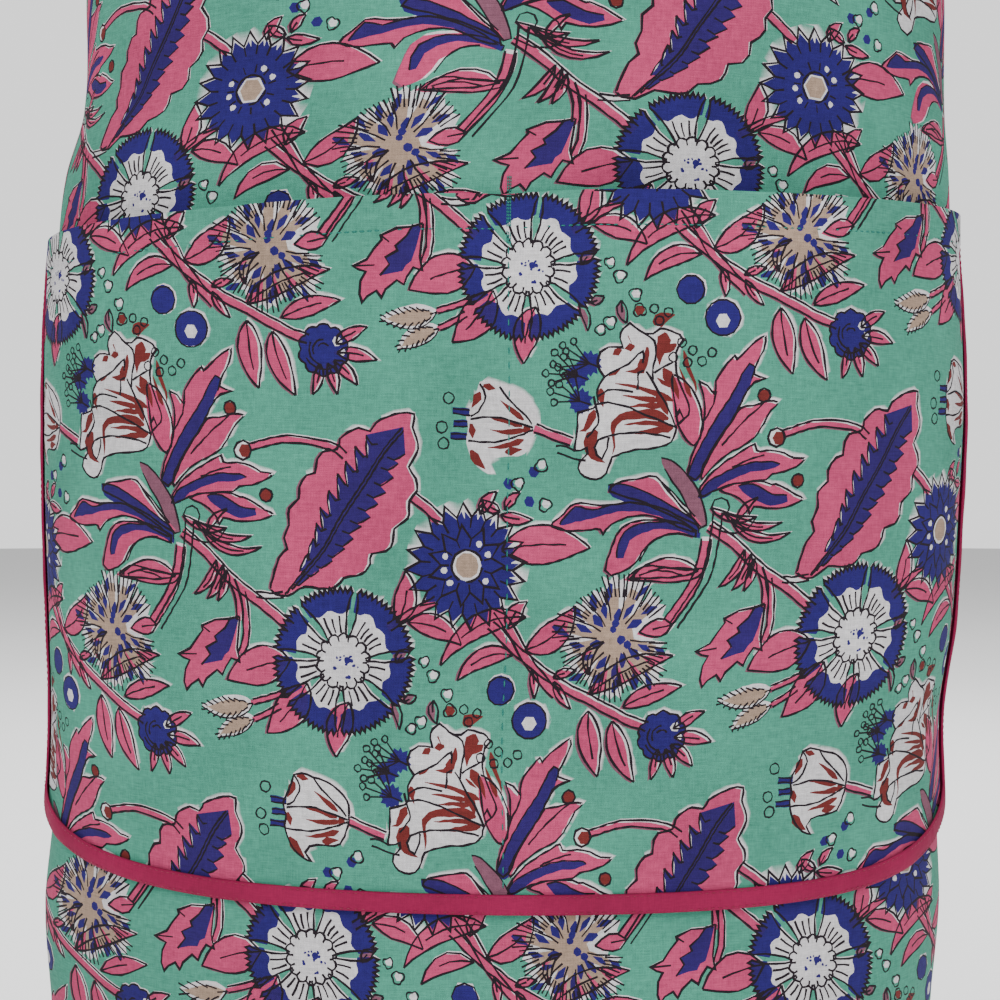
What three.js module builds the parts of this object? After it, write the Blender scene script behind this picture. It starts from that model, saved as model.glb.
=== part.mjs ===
// A bib apron of printed cotton, in the shape that it takes when it is worn.
// Millimetres, +Z up, +X to the wearer's left, the front of the apron towards -Y.
// The origin is on the inner face of the neck strap, at the middle of the nape.
import * as THREE from "three";
import { mergeVertices } from "three/addons/utils/BufferGeometryUtils.js";

// Cloth
const clothThickness = 1.2;
const tapeThickness = 1.1;
const strapThickness = 2.0;
const layerGap = 0.9; // clearance between two layers that are sewn together
const knotGap = 0.4; // clearance between the knot and each strap that leaves it

// Flat pattern of the panel
const skirtWidth = 700;
const skirtLength = 550; // from the waist corners to the hem
const bibHeight = 250; // from the waist corners to the top of the bib
const bibTopWidth = 240;
const armholeHeight = 205; // the curved part of the bib's side
const armholeCurve = 2.2; // 1 is a straight slant, more is a deeper curve

// Flat pattern of the pocket and of the tape that binds it
const pocketWidth = 456;
const pocketHeight = 259;
const pocketDrop = 54; // from the waist corners down to the pocket's mouth
const pocketCornerRise = 28; // how much higher the bottom edge ends at its corners
const pocketTilt = -0.6; // degrees, the pocket is sewn on a little askew
const mouthRise = 17; // how much taller the pocket is at its +X side than at its -X side
const mouthSag = 2.5; // how far the mouth hangs down between its seams
const pouchDepth = 14; // how far the mouth stands open
const dividerWidth = 5; // flat strip along the stitch line in the middle
const tapeWidth = 7.6;
const tapeOverlap = 5.2; // part of the tape's width that lies on the pocket

// The wearer's form under the cloth
const hipWidth = 382;
const frontDepth = 116; // from the form's axis to the belly
const backDepth = 108;
const napeToWaist = 365;
const napeToAxis = 70; // the form's axis stands this far in front of the nape
const neckRadius = 63;

// Soft folds of the skirt
const foldDepth = 9;

// Straps
const strapWidth = 25;
const strapSewnLength = 26; // length of a strap's end that is sewn under the panel
const strapInset = 3; // from the panel's edge to the strap's edge
const shoulderLift = 13; // the strap at the side of the neck above the nape
const knotWidth = 36;
const knotHeight = 30;
const knotDepth = 20;
const tieEndLength = 330;
const tieEndSpread = 34; // each tie end's distance from the middle at its foot

// Heights
const waistZ = -napeToWaist;
const bibTopZ = waistZ + bibHeight;
const hemZ = waistZ - skirtLength;

// Sections of the form. level is 1 at the bib's top, 0 at the waist and -1 at the hem.
// wide and shift (towards +X) are shares of half of hipWidth, front and back are shares
// of frontDepth and of backDepth.
const sections = [
  { level: 1.5, wide: 0.8, shift: 0, front: 0.93, back: 0.95 },
  { level: 1.0, wide: 0.86, shift: 0, front: 1.0, back: 0.97 },
  { level: 0.72, wide: 0.9, shift: 0.012, front: 1.05, back: 0.95 },
  { level: 0.4, wide: 0.935, shift: 0.03, front: 1.0, back: 0.9 },
  { level: 0.2, wide: 0.95, shift: 0.034, front: 0.95, back: 0.87 },
  { level: 0.0, wide: 0.953, shift: 0.032, front: 0.925, back: 0.86 },
  { level: -0.055, wide: 0.979, shift: 0.016, front: 0.945, back: 0.89 },
  { level: -0.11, wide: 0.989, shift: 0.009, front: 0.965, back: 0.93 },
  { level: -0.17, wide: 1.0, shift: 0.008, front: 0.98, back: 0.98 },
  { level: -0.24, wide: 1.004, shift: 0.009, front: 1.0, back: 1.03 },
  { level: -0.31, wide: 0.998, shift: 0.005, front: 1.005, back: 1.05 },
  { level: -0.39, wide: 0.987, shift: 0.003, front: 1.0, back: 1.05 },
  { level: -0.46, wide: 0.97, shift: -0.006, front: 0.99, back: 1.03 },
  { level: -0.545, wide: 0.977, shift: -0.004, front: 0.985, back: 1.01 },
  { level: -0.61, wide: 0.987, shift: -0.006, front: 0.98, back: 0.99 },
  { level: -0.7, wide: 0.968, shift: -0.002, front: 0.975, back: 0.97 },
  { level: -1.0, wide: 0.965, shift: 0, front: 0.99, back: 0.96 },
];

// Folds that run down the skirt. at and wide are shares of half of skirtWidth,
// from is the level where the fold starts and deep is a share of foldDepth.
const folds = [
  { at: -0.86, wide: 0.12, from: -0.1, deep: -0.9 },
  { at: -0.62, wide: 0.13, from: -0.3, deep: 0.75 },
  { at: -0.4, wide: 0.11, from: -0.46, deep: -0.6 },
  { at: -0.14, wide: 0.16, from: -0.52, deep: 0.55 },
  { at: 0.12, wide: 0.12, from: -0.55, deep: -0.45 },
  { at: 0.37, wide: 0.14, from: -0.46, deep: 0.6 },
  { at: 0.6, wide: 0.11, from: -0.3, deep: -0.7 },
  { at: 0.84, wide: 0.13, from: -0.12, deep: 0.85 },
];

const mix = (a, b, t) => a + (b - a) * t;
const clamp01 = (t) => Math.min(1, Math.max(0, t));
const smooth = (t) => clamp01(t) ** 2 * (3 - 2 * clamp01(t));

function levelAt(z) {
  return z > waistZ ? (z - waistZ) / bibHeight : (z - waistZ) / skirtLength;
}

// A named share of the sections at a level, through a smooth curve.
function shareAt(name, level) {
  const last = sections.length - 1;
  let i = 0;
  while (i < last - 1 && level < sections[i + 1].level) i += 1;
  const row = (k) => sections[Math.min(last, Math.max(0, k))];
  const slope = (k) => {
    const [a, b] = [row(k - 1), row(k + 1)];
    return (b[name] - a[name]) / (b.level - a.level);
  };
  const [top, low] = [row(i), row(i + 1)];
  const step = low.level - top.level;
  const t = clamp01((level - top.level) / step);
  const rise = t * t * (3 - 2 * t);
  const hermite = (t ** 3 - 2 * t ** 2 + t) * slope(i) + (t ** 3 - t ** 2) * slope(i + 1);
  return mix(top[name], low[name], rise) + step * hermite;
}

// One level section of the form: a half ellipse in front and another behind.
// Its points are spaced along it, so a length on the flat cloth finds its place.
const arcSteps = 180;
const sectionCache = new Map();
function sectionAt(z) {
  if (!sectionCache.has(z)) {
    const level = levelAt(z);
    const a = (shareAt("wide", level) * hipWidth) / 2;
    const front = shareAt("front", level) * frontDepth;
    const back = shareAt("back", level) * backDepth;
    const shift = (shareAt("shift", level) * hipWidth) / 2;
    const points = [];
    let length = 0;
    for (let i = 0; i <= arcSteps; i += 1) {
      const turn = (Math.PI * i) / arcSteps;
      const deep = turn < Math.PI / 2 ? front : back;
      const point = new THREE.Vector2(a * Math.sin(turn), -deep * Math.cos(turn));
      if (i > 0) length += point.distanceTo(points[i - 1].point);
      points.push({ point, length });
    }
    sectionCache.set(z, { points, half: length, shift });
  }
  return sectionCache.get(z);
}

function onSection(z, u) {
  const { points, half, shift } = sectionAt(z);
  const along = Math.min(Math.abs(u), half);
  let low = 0;
  let high = arcSteps;
  while (high - low > 1) {
    const middle = (low + high) >> 1;
    if (points[middle].length <= along) low = middle;
    else high = middle;
  }
  const t = (along - points[low].length) / (points[high].length - points[low].length);
  const spot = points[low].point.clone().lerp(points[high].point, t);
  return new THREE.Vector3(shift + Math.sign(u) * spot.x, spot.y - napeToAxis, z);
}

function foldAt(u, z) {
  const level = levelAt(z);
  let rise = 0;
  for (const fold of folds) {
    const across = (u / (skirtWidth / 2) - fold.at) / fold.wide;
    const down = smooth((fold.from - level) / (1 + fold.from));
    rise += fold.deep * foldDepth * down * Math.exp(-across * across);
  }
  return rise;
}

// The worn place of a point of the cloth: u across and z up on the flat pattern,
// and n outwards from the inner face of the panel.
const probe = 2;
function worn(u, z, n) {
  const here = onSection(z, u);
  const across = onSection(z, u + probe).sub(onSection(z, u - probe));
  const up = onSection(z + probe, u).sub(onSection(z - probe, u));
  const out = across.cross(up).normalize();
  return here.addScaledVector(out, n + foldAt(u, z));
}

// A box with a fine grid on two sides, bent by place(across, along, outer),
// where across and along run from 0 to 1 and outer is 0 on the inner face.
function bentBox(acrossSteps, alongSteps, place) {
  const box = new THREE.BoxGeometry(1, 1, 1, acrossSteps, alongSteps, 1);
  box.deleteAttribute("normal");
  box.deleteAttribute("uv");
  const position = box.getAttribute("position");
  for (let i = 0; i < position.count; i += 1) {
    const spot = place(position.getX(i) + 0.5, position.getY(i) + 0.5, position.getZ(i) + 0.5);
    position.setXYZ(i, spot.x, spot.y, spot.z);
  }
  return facingOut(mergeVertices(box, 1e-4));
}

// Turns the faces round where the bending has mirrored the box.
function facingOut(geometry) {
  const position = geometry.getAttribute("position");
  const index = geometry.getIndex();
  const vertex = (i) => new THREE.Vector3().fromBufferAttribute(position, index.getX(i));
  let volume = 0;
  for (let i = 0; i < index.count; i += 3) {
    volume += vertex(i).dot(vertex(i + 1).cross(vertex(i + 2)));
  }
  if (volume < 0) {
    for (let i = 0; i < index.count; i += 3) {
      const first = index.getX(i);
      index.setX(i, index.getX(i + 1));
      index.setX(i + 1, first);
    }
  }
  geometry.computeVertexNormals();
  return geometry;
}

const apron = new THREE.Group();
function add(name, geometry, material) {
  const mesh = new THREE.Mesh(geometry, material);
  mesh.name = name;
  apron.add(mesh);
}

const printedCotton = new THREE.MeshStandardMaterial({ color: 0x7fbfa8, roughness: 0.9, metalness: 0 });
const pinkCotton = new THREE.MeshStandardMaterial({ color: 0xc8245e, roughness: 0.85, metalness: 0 });

// Panel: bib and skirt in one piece of cloth
const panelColumns = 48;
const bibRows = 2;
const armholeRows = 9;
const skirtRows = 18;
const panelRows = bibRows + armholeRows + skirtRows;

// Heights of the rows from the hem up. They lie closer towards the waist.
function panelRowZ(row) {
  if (row <= skirtRows) return waistZ - skirtLength * (1 - row / skirtRows) ** 1.25;
  if (row >= skirtRows + armholeRows) {
    return mix(waistZ + armholeHeight, bibTopZ, (row - skirtRows - armholeRows) / bibRows);
  }
  return waistZ + armholeHeight * ((row - skirtRows) / armholeRows) ** 1.3;
}

function panelHalfWidth(z) {
  if (z <= waistZ) return skirtWidth / 2;
  const left = clamp01(1 - (z - waistZ) / armholeHeight);
  return mix(bibTopWidth, skirtWidth, left ** armholeCurve) / 2;
}

add(
  "body_panel",
  bentBox(panelColumns, panelRows, (across, along, outer) => {
    const z = panelRowZ(Math.round(along * panelRows));
    const u = (2 * across - 1) * panelHalfWidth(z);
    return worn(u, z, outer * clothThickness);
  }),
  printedCotton,
);

// Pocket: p runs across it from the middle and q down from the middle of its mouth
const tilt = THREE.MathUtils.degToRad(pocketTilt);
function onPocket(p, q, n) {
  const u = p * Math.cos(tilt) + q * Math.sin(tilt);
  const z = waistZ - pocketDrop + p * Math.sin(tilt) - q * Math.cos(tilt);
  return worn(u, z, n);
}

function pocketFootAt(p) {
  const share = Math.abs(p) / (pocketWidth / 2);
  return pocketHeight - pocketCornerRise * share ** 5;
}

function pocketMouthAt(p) {
  const share = Math.abs(p) / (pocketWidth / 2);
  return mouthSag * Math.sin(Math.PI * share) ** 2 - (p / pocketWidth) * mouthRise;
}

// The pouch stands away from the panel between the seams, most at the mouth.
const seamHalfWidth = dividerWidth / 2;
const seamMargin = tapeWidth + 3;
function pouchAt(p, q) {
  const across = (Math.abs(p) - seamHalfWidth) / (pocketWidth / 2 - seamMargin - seamHalfWidth);
  const up = (pocketFootAt(p) - seamMargin - q) / (pocketHeight - seamMargin);
  const arch = Math.sin(Math.PI * clamp01(across)) ** 0.8;
  return pouchDepth * arch * Math.sin((Math.PI / 2) * clamp01(up * 1.15)) ** 0.9;
}

const pocketBase = clothThickness + layerGap;
const pocketColumns = 40;
const pocketRows = 14;
add(
  "pocket",
  bentBox(pocketColumns, pocketRows, (across, along, outer) => {
    const p = (across - 0.5) * pocketWidth;
    const q = mix(pocketFootAt(p), pocketMouthAt(p), along);
    return onPocket(p, q, pocketBase + pouchAt(p, q) + outer * clothThickness);
  }),
  printedCotton,
);

// Tape: bound round the pocket's sides and bottom, with a mitre at each corner
const tapeSideSteps = 12;
const tapeBottomSteps = 40;
const tapePath = [];
const corner = pocketWidth / 2;
for (let i = 0; i < tapeSideSteps; i += 1) {
  const q = mix(pocketMouthAt(-corner), pocketFootAt(-corner), i / tapeSideSteps);
  tapePath.push(new THREE.Vector2(-corner, q));
}
for (let i = 0; i <= tapeBottomSteps; i += 1) {
  const p = mix(-corner, corner, i / tapeBottomSteps);
  tapePath.push(new THREE.Vector2(p, pocketFootAt(p)));
}
for (let i = tapeSideSteps - 1; i >= 0; i -= 1) {
  const q = mix(pocketMouthAt(corner), pocketFootAt(corner), i / tapeSideSteps);
  tapePath.push(new THREE.Vector2(corner, q));
}

// A point beside the tape's path, t outwards from the pocket's cut edge.
function besidePath(i, t) {
  const here = tapePath[i];
  const sides = [tapePath[i - 1], tapePath[i + 1]]
    .map((next, k) => next && (k ? next.clone().sub(here) : here.clone().sub(next)).normalize())
    .filter(Boolean)
    .map((along) => new THREE.Vector2(-along.y, along.x));
  const mitre = sides.reduce((sum, side) => sum.add(side), new THREE.Vector2()).normalize();
  return here.clone().addScaledVector(mitre, t / mitre.dot(sides[0]));
}

// Columns across the tape: from its edge on the pocket to its edge on the panel.
const stepWidth = 0.8;
const tapeLip = tapeWidth - tapeOverlap;
const onPocketBase = pocketBase + clothThickness + layerGap;
const tapeColumns = [
  { t: -tapeOverlap, under: onPocketBase },
  { t: layerGap / 2, under: onPocketBase },
  { t: layerGap / 2 + stepWidth, under: pocketBase },
  { t: tapeLip, under: pocketBase },
];
add(
  "pocket_binding",
  bentBox(tapeColumns.length - 1, tapePath.length - 1, (across, along, outer) => {
    const column = tapeColumns[Math.round(across * (tapeColumns.length - 1))];
    const { x, y } = besidePath(Math.round(along * (tapePath.length - 1)), column.t);
    return onPocket(x, y, outer ? onPocketBase + tapeThickness : column.under);
  }),
  pinkCotton,
);

// A flat strap of rows. Each row places a point from its distance across, which is 0 in
// the strap's middle, and its height above the strap's inner face.
function strap(rows) {
  return bentBox(2, rows.length - 1, (across, along, outer) =>
    rows[Math.round(along * (rows.length - 1))]((across - 0.5) * strapWidth, outer * strapThickness),
  );
}

// Rows of a strap that hangs free along a curve, with the way that its outer face looks.
function freeRows(points, steps) {
  const path = new THREE.CatmullRomCurve3(points.map((point) => point.at));
  const facing = new THREE.CatmullRomCurve3(points.map((point) => point.out));
  return Array.from({ length: steps + 1 }, (_, i) => {
    const at = path.getPoint(i / steps);
    const tangent = path.getTangent(i / steps);
    const out = facing.getPoint(i / steps).projectOnPlane(tangent).normalize();
    const side = tangent.clone().cross(out);
    return (s, n) => at.clone().addScaledVector(side, s).addScaledVector(out, n);
  });
}

const outward = (u, z) => worn(u, z, 1).sub(worn(u, z, 0)).normalize();
const underPanel = -layerGap - strapThickness;

// Neck strap: from one bib corner round the nape to the other
const strapU = bibTopWidth / 2 - strapInset - strapWidth / 2;
const bibCorner = worn(strapU, bibTopZ, underPanel);
const neckSide = new THREE.Vector3(neckRadius, -neckRadius, shoulderLift);
const strapRise = neckSide.distanceTo(bibCorner);
const chestPoint = (share, bulge) =>
  bibCorner
    .clone()
    .lerp(neckSide, share)
    .add(new THREE.Vector3(0.3, -1, 0.8).multiplyScalar(bulge * strapRise));
const halfStrap = [
  { at: bibCorner, out: outward(strapU, bibTopZ) },
  { at: chestPoint(0.33, 0.07), out: new THREE.Vector3(0.52, -0.8, 0.3) },
  { at: chestPoint(0.68, 0.09), out: new THREE.Vector3(0.62, -0.55, 0.56) },
  { at: neckSide, out: new THREE.Vector3(0.86, 0.0, 0.5) },
  {
    at: new THREE.Vector3(neckRadius * 0.74, -neckRadius * 0.3, shoulderLift * 0.5),
    out: new THREE.Vector3(0.72, 0.64, 0.26),
  },
];
const nape = { at: new THREE.Vector3(0, 0, 0), out: new THREE.Vector3(0, 1, 0) };
const mirrored = ({ at, out }) => ({
  at: new THREE.Vector3(-at.x, at.y, at.z),
  out: new THREE.Vector3(-out.x, out.y, out.z),
});
const loopRows = freeRows([...halfStrap, nape, ...halfStrap.map(mirrored).reverse()], 44);
const sewnSteps = 3;
const sewnRows = (side) =>
  Array.from({ length: sewnSteps + 1 }, (_, i) => {
    const z = bibTopZ - strapSewnLength * (1 - i / sewnSteps);
    return (s, n) => worn(side * strapU - side * s, z, underPanel + n);
  });
const turned = (row) => (s, n) => row(-s, n);
add(
  "neck_strap",
  strap([
    ...sewnRows(1).map(turned),
    ...loopRows.slice(1, -1),
    ...sewnRows(-1).reverse(),
  ]),
  pinkCotton,
);

// Waist ties: sewn under the panel's corners and knotted at the back
const tieZ = waistZ - strapInset - strapWidth / 2;
const backHalf = sectionAt(tieZ).half;
const tieStart = skirtWidth / 2 - strapSewnLength;
const tieStop = backHalf - knotWidth / 2 - knotGap;
const tieSteps = 16;
function tieRows(side) {
  return Array.from({ length: tieSteps + 1 }, (_, i) => {
    const u = mix(tieStart, tieStop, i / tieSteps);
    const free = smooth((u - skirtWidth / 2) / (tieStop - skirtWidth / 2));
    return (s, n) => {
      const slack = (sectionAt(tieZ + s).half - backHalf) * free;
      return worn(side * (u + slack), tieZ + s, mix(underPanel, 0, free) + n);
    };
  });
}
add("waist_tie_left", strap(tieRows(1)), pinkCotton);
add("waist_tie_right", strap(tieRows(-1)), pinkCotton);

// Knot: a soft lump, pinched in its middle where the ties cross
const knotCentre = worn(backHalf, tieZ, strapThickness / 2);
const knot = new THREE.SphereGeometry(1, 20, 14);
const knotPosition = knot.getAttribute("position");
for (let i = 0; i < knotPosition.count; i += 1) {
  const spot = new THREE.Vector3().fromBufferAttribute(knotPosition, i);
  const pinch = 0.86 + 0.3 * Math.abs(spot.x);
  knotPosition.setXYZ(
    i,
    (spot.x * knotWidth) / 2,
    (spot.z * pinch * knotDepth) / 2,
    (spot.y * knotHeight) / 2,
  );
}
knot.deleteAttribute("normal");
knot.deleteAttribute("uv");
knot.translate(knotCentre.x, knotCentre.y, knotCentre.z);
add("tie_knot", facingOut(mergeVertices(knot, 1e-4)), pinkCotton);

// Tie ends: hang from the knot down the back
const endTopZ = knotCentre.z - knotHeight / 2 - knotGap;
const endSteps = 6;
const endHang = 4; // clear of the form behind
const endTopSpread = strapWidth / 2 + layerGap;
function endRows(side) {
  const points = Array.from({ length: endSteps + 1 }, (_, i) => {
    const share = i / endSteps;
    const z = endTopZ - tieEndLength * share;
    const behind = onSection(z, sectionAt(z).half).y + endHang * smooth(share * 3);
    const atKnot = knotCentre.y - strapThickness / 2;
    return {
      at: new THREE.Vector3(
        knotCentre.x + side * mix(endTopSpread, tieEndSpread, share),
        mix(atKnot, Math.max(behind, atKnot), smooth(share * 6)),
        z,
      ),
      out: new THREE.Vector3(side * 0.12 * share, 1, 0.05),
    };
  });
  return freeRows(points, 16);
}
add("tie_end_left", strap(endRows(1)), pinkCotton);
add("tie_end_right", strap(endRows(-1)), pinkCotton);

export default apron;
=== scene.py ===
import math
import random

import bmesh
import bpy
import numpy as np
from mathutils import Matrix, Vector
from mathutils.geometry import delaunay_2d_cdt


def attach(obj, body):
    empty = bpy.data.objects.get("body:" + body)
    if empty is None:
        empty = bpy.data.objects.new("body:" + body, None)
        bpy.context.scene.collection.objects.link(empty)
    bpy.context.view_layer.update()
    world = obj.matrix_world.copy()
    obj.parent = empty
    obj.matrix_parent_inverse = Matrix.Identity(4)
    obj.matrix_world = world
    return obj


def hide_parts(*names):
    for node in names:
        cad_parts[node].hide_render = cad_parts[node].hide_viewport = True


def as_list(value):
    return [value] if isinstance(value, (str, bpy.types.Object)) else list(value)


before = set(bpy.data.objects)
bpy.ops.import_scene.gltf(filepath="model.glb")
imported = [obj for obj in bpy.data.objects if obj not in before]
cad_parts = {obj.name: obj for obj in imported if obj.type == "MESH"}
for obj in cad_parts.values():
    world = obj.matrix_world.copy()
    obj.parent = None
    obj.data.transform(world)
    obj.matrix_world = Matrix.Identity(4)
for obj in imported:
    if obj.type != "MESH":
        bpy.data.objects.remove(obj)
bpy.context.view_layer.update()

mm = 0.001
print("frame loaded:", len(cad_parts), "nodes")


def addPiece(name, data, material=None):
    if material:
        data.materials.append(material)
    piece = bpy.data.objects.new(name, data)
    bpy.context.scene.collection.objects.link(piece)
    return piece


def unit(rows):
    return rows / np.linalg.norm(rows, axis=-1, keepdims=True)


# The camera stands straight in front of the apron, at hip height.
cameraSettings = {"place": (0.0, -0.812, -0.530), "lens": 62.0, "sensor": 36.0}

cameraData = bpy.data.cameras.new("frontCamera")
cameraData.lens = cameraSettings["lens"]
cameraData.sensor_width = cameraSettings["sensor"]
cameraData.clip_start = 0.01
camera = addPiece("frontCamera", cameraData)
camera.location = cameraSettings["place"]
camera.rotation_euler = (math.radians(90), 0, 0)
bpy.context.scene.camera = camera

# Flat pattern and the wearer's form, in millimetres, as the solids have them.
panel = {
    "skirtWidth": 700.0, "skirtLength": 550.0, "bibHeight": 250.0, "bibTopWidth": 240.0,
    "armholeHeight": 205.0, "armholeCurve": 2.2, "waistZ": -365.0, "thick": 1.2,
}
form = {"hipWidth": 382.0, "frontDepth": 116.0, "backDepth": 108.0, "axisY": -70.0, "foldDepth": 9.0}

# level, half width, shift to the left hip, front depth, back depth
sections = np.array([
    (1.5, 0.8, 0.0, 0.93, 0.95), (1.0, 0.86, 0.0, 1.0, 0.97), (0.72, 0.9, 0.012, 1.05, 0.95),
    (0.4, 0.935, 0.03, 1.0, 0.9), (0.2, 0.95, 0.034, 0.95, 0.87), (0.0, 0.953, 0.032, 0.925, 0.86),
    (-0.055, 0.979, 0.016, 0.945, 0.89), (-0.11, 0.989, 0.009, 0.965, 0.93), (-0.17, 1.0, 0.008, 0.98, 0.98),
    (-0.24, 1.004, 0.009, 1.0, 1.03), (-0.31, 0.998, 0.005, 1.005, 1.05), (-0.39, 0.987, 0.003, 1.0, 1.05),
    (-0.46, 0.97, -0.006, 0.99, 1.03), (-0.545, 0.977, -0.004, 0.985, 1.01), (-0.61, 0.987, -0.006, 0.98, 0.99),
    (-0.7, 0.968, -0.002, 0.975, 0.97), (-1.0, 0.965, 0.0, 0.99, 0.96),
])

# place across, width, level where the fold starts, depth
folds = [
    (-0.86, 0.12, -0.1, -0.9), (-0.62, 0.13, -0.3, 0.75), (-0.4, 0.11, -0.46, -0.6), (-0.14, 0.16, -0.52, 0.55),
    (0.12, 0.12, -0.55, -0.45), (0.37, 0.14, -0.46, 0.6), (0.6, 0.11, -0.3, -0.7), (0.84, 0.13, -0.12, 0.85),
]


def smooth(t):
    t = np.clip(t, 0, 1)
    return t * t * (3 - 2 * t)


def levelAt(z):
    up = z - panel["waistZ"]
    return np.where(up > 0, up / panel["bibHeight"], up / panel["skirtLength"])


# The form's shares at each height, through a smooth curve.
def sharesAt(z):
    level = levelAt(z)
    last = len(sections) - 1
    i = np.clip(np.searchsorted(-sections[:, 0], -level, side="left") - 1, 0, last - 1)

    def slopeAt(k):
        above = sections[np.clip(k - 1, 0, last)]
        below = sections[np.clip(k + 1, 0, last)]
        return (below - above)[:, 1:] / (below - above)[:, :1]

    top, low = sections[i], sections[i + 1]
    step = (low - top)[:, :1]
    t = np.clip((level[:, None] - top[:, :1]) / step, 0, 1)
    curve = (t ** 3 - 2 * t ** 2 + t) * slopeAt(i) + (t ** 3 - t ** 2) * slopeAt(i + 1)
    return top[:, 1:] + (low - top)[:, 1:] * smooth(t) + step * curve


def halfEllipse(shares, turn):
    wide = shares[:, 0] * form["hipWidth"] / 2
    front = shares[:, 2] * form["frontDepth"]
    back = shares[:, 3] * form["backDepth"]
    return wide * np.sin(turn), -np.where(turn < np.pi / 2, front, back) * np.cos(turn)


# A table from the length along each level section to the turn of the ellipse.
table = {"low": -930.0, "high": 20.0, "rise": 4.0, "reach": 520.0, "across": 2.0, "turns": 361}
tableZ = np.arange(table["low"], table["high"], table["rise"])
tableU = np.arange(0.0, table["reach"], table["across"])
turnRows, halfRows = [], []
for shares in sharesAt(tableZ):
    turns = np.linspace(0, np.pi, table["turns"])
    x, y = halfEllipse(np.repeat(shares[None, :], len(turns), 0), turns)
    length = np.concatenate([[0], np.cumsum(np.hypot(np.diff(x), np.diff(y)))])
    turnRows.append(np.interp(tableU, length, turns))
    halfRows.append(length[-1])
turnTable, halfTable = np.array(turnRows), np.array(halfRows)


def halfAt(z):
    return np.interp(z, tableZ, halfTable)


def onForm(u, z):
    fz = np.clip((z - table["low"]) / table["rise"], 0, len(tableZ) - 1.001)
    fu = np.clip(np.abs(u) / table["across"], 0, len(tableU) - 1.001)
    iz, iu = fz.astype(int), fu.astype(int)
    tz, tu = fz - iz, fu - iu
    low = turnTable[iz, iu] * (1 - tu) + turnTable[iz, iu + 1] * tu
    high = turnTable[iz + 1, iu] * (1 - tu) + turnTable[iz + 1, iu + 1] * tu
    shares = sharesAt(z)
    x, y = halfEllipse(shares, low * (1 - tz) + high * tz)
    return np.stack([shares[:, 1] * form["hipWidth"] / 2 + np.sign(u) * x, y + form["axisY"], z], 1)


def foldAt(u, z):
    level = levelAt(z)
    rise = np.zeros_like(u)
    for at, wide, start, deep in folds:
        across = (u / (panel["skirtWidth"] / 2) - at) / wide
        rise += deep * form["foldDepth"] * smooth((start - level) / (1 + start)) * np.exp(-across * across)
    return rise


# The worn place of flat cloth: u across, z up, n out from the panel's inner face.
def worn(u, z, n):
    u, z, n = (np.ravel(v).astype(float) for v in np.broadcast_arrays(u, z, n))
    here = onForm(u, z)
    step = 2.0
    across = onForm(u + step, z) - onForm(u - step, z)
    up = onForm(u, z + step) - onForm(u, z - step)
    return here + unit(np.cross(across, up)) * (n + foldAt(u, z))[:, None]


# The way that worn cloth looks, from three places close together.
def outOf(place, flat):
    step = 1.5
    right = place(flat + (step, 0)) - place(flat - (step, 0))
    up = place(flat + (0, step)) - place(flat - (0, step))
    return unit(np.cross(right, up))


pocket = {
    "width": 456.0, "height": 259.0, "drop": 54.0, "cornerRise": 28.0, "tilt": -0.6, "mouthRise": 17.0,
    "mouthSag": 2.5, "pouch": 14.0, "divider": 5.0, "gap": 0.9, "hem": 12.6,
}
tape = {"width": 7.6, "overlap": 5.2, "thick": 1.1, "pucker": 0.1, "footSteps": 150, "sideSteps": 60}
pocket["base"] = panel["thick"] + pocket["gap"]


def pocketToFlat(p, q):
    tilt = math.radians(pocket["tilt"])
    u = p * math.cos(tilt) + q * math.sin(tilt)
    z = panel["waistZ"] - pocket["drop"] + p * math.sin(tilt) - q * math.cos(tilt)
    return u, z


def footAt(p):
    return pocket["height"] - pocket["cornerRise"] * (np.abs(p) / (pocket["width"] / 2)) ** 5


def mouthAt(p):
    share = np.abs(p) / (pocket["width"] / 2)
    return pocket["mouthSag"] * np.sin(np.pi * share) ** 2 - p / pocket["width"] * pocket["mouthRise"]


def pouchAt(p, q):
    seam, margin = pocket["divider"] / 2, tape["width"] + 3
    across = (np.abs(p) - seam) / (pocket["width"] / 2 - margin - seam)
    up = (footAt(p) - margin - q) / (pocket["height"] - margin)
    arch = np.sin(np.pi * np.clip(across, 0, 1)) ** 0.8
    return pocket["pouch"] * arch * np.sin(np.pi / 2 * np.clip(up * 1.15, 0, 1)) ** 0.9


def onPocket(p, q, n):
    return worn(*pocketToFlat(p, q), n)


def panelHalfWidth(z):
    left = np.clip(1 - (z - panel["waistZ"]) / panel["armholeHeight"], 0, 1)
    width = panel["bibTopWidth"] + (panel["skirtWidth"] - panel["bibTopWidth"]) * left ** panel["armholeCurve"]
    return np.where(z <= panel["waistZ"], panel["skirtWidth"], width) / 2


# The print. Inks of a hand-blocked cotton, as linear colours.
inks = {
    "ground": (0.048, 0.232, 0.16), "paper": (0.50, 0.485, 0.495), "pink": (0.39, 0.042, 0.112),
    "mauve": (0.15, 0.055, 0.085), "blue": (0.012, 0.0065, 0.104), "plum": (0.016, 0.006, 0.088),
    "brown": (0.115, 0.013, 0.012), "beige": (0.27, 0.19, 0.14), "line": (0.008, 0.004, 0.0075),
}
repeat = {
    "across": (201.0, 7.7), "up": (-68.0, -144.1), "pocketStart": (-15.4, -129.7),
    "panelStart": (-95.7, -370.0),
    "lineWidth": 0.84, "pinkSlip": (-0.85, -0.3), "blueSlip": (-0.1, -0.2), "paperSlip": (0.3, 0.4),
    "paperEdge": 0.4, "haloEdge": 1.5, "unevenness": 0.16,
}
fineDetail = {"step": 2.2, "halo": True, "lines": True, "small": True}
coarseDetail = {"step": 4.0, "halo": False, "lines": True, "small": True}
ghostDetail = {"step": 10.0, "halo": False, "lines": False, "small": False}

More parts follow.
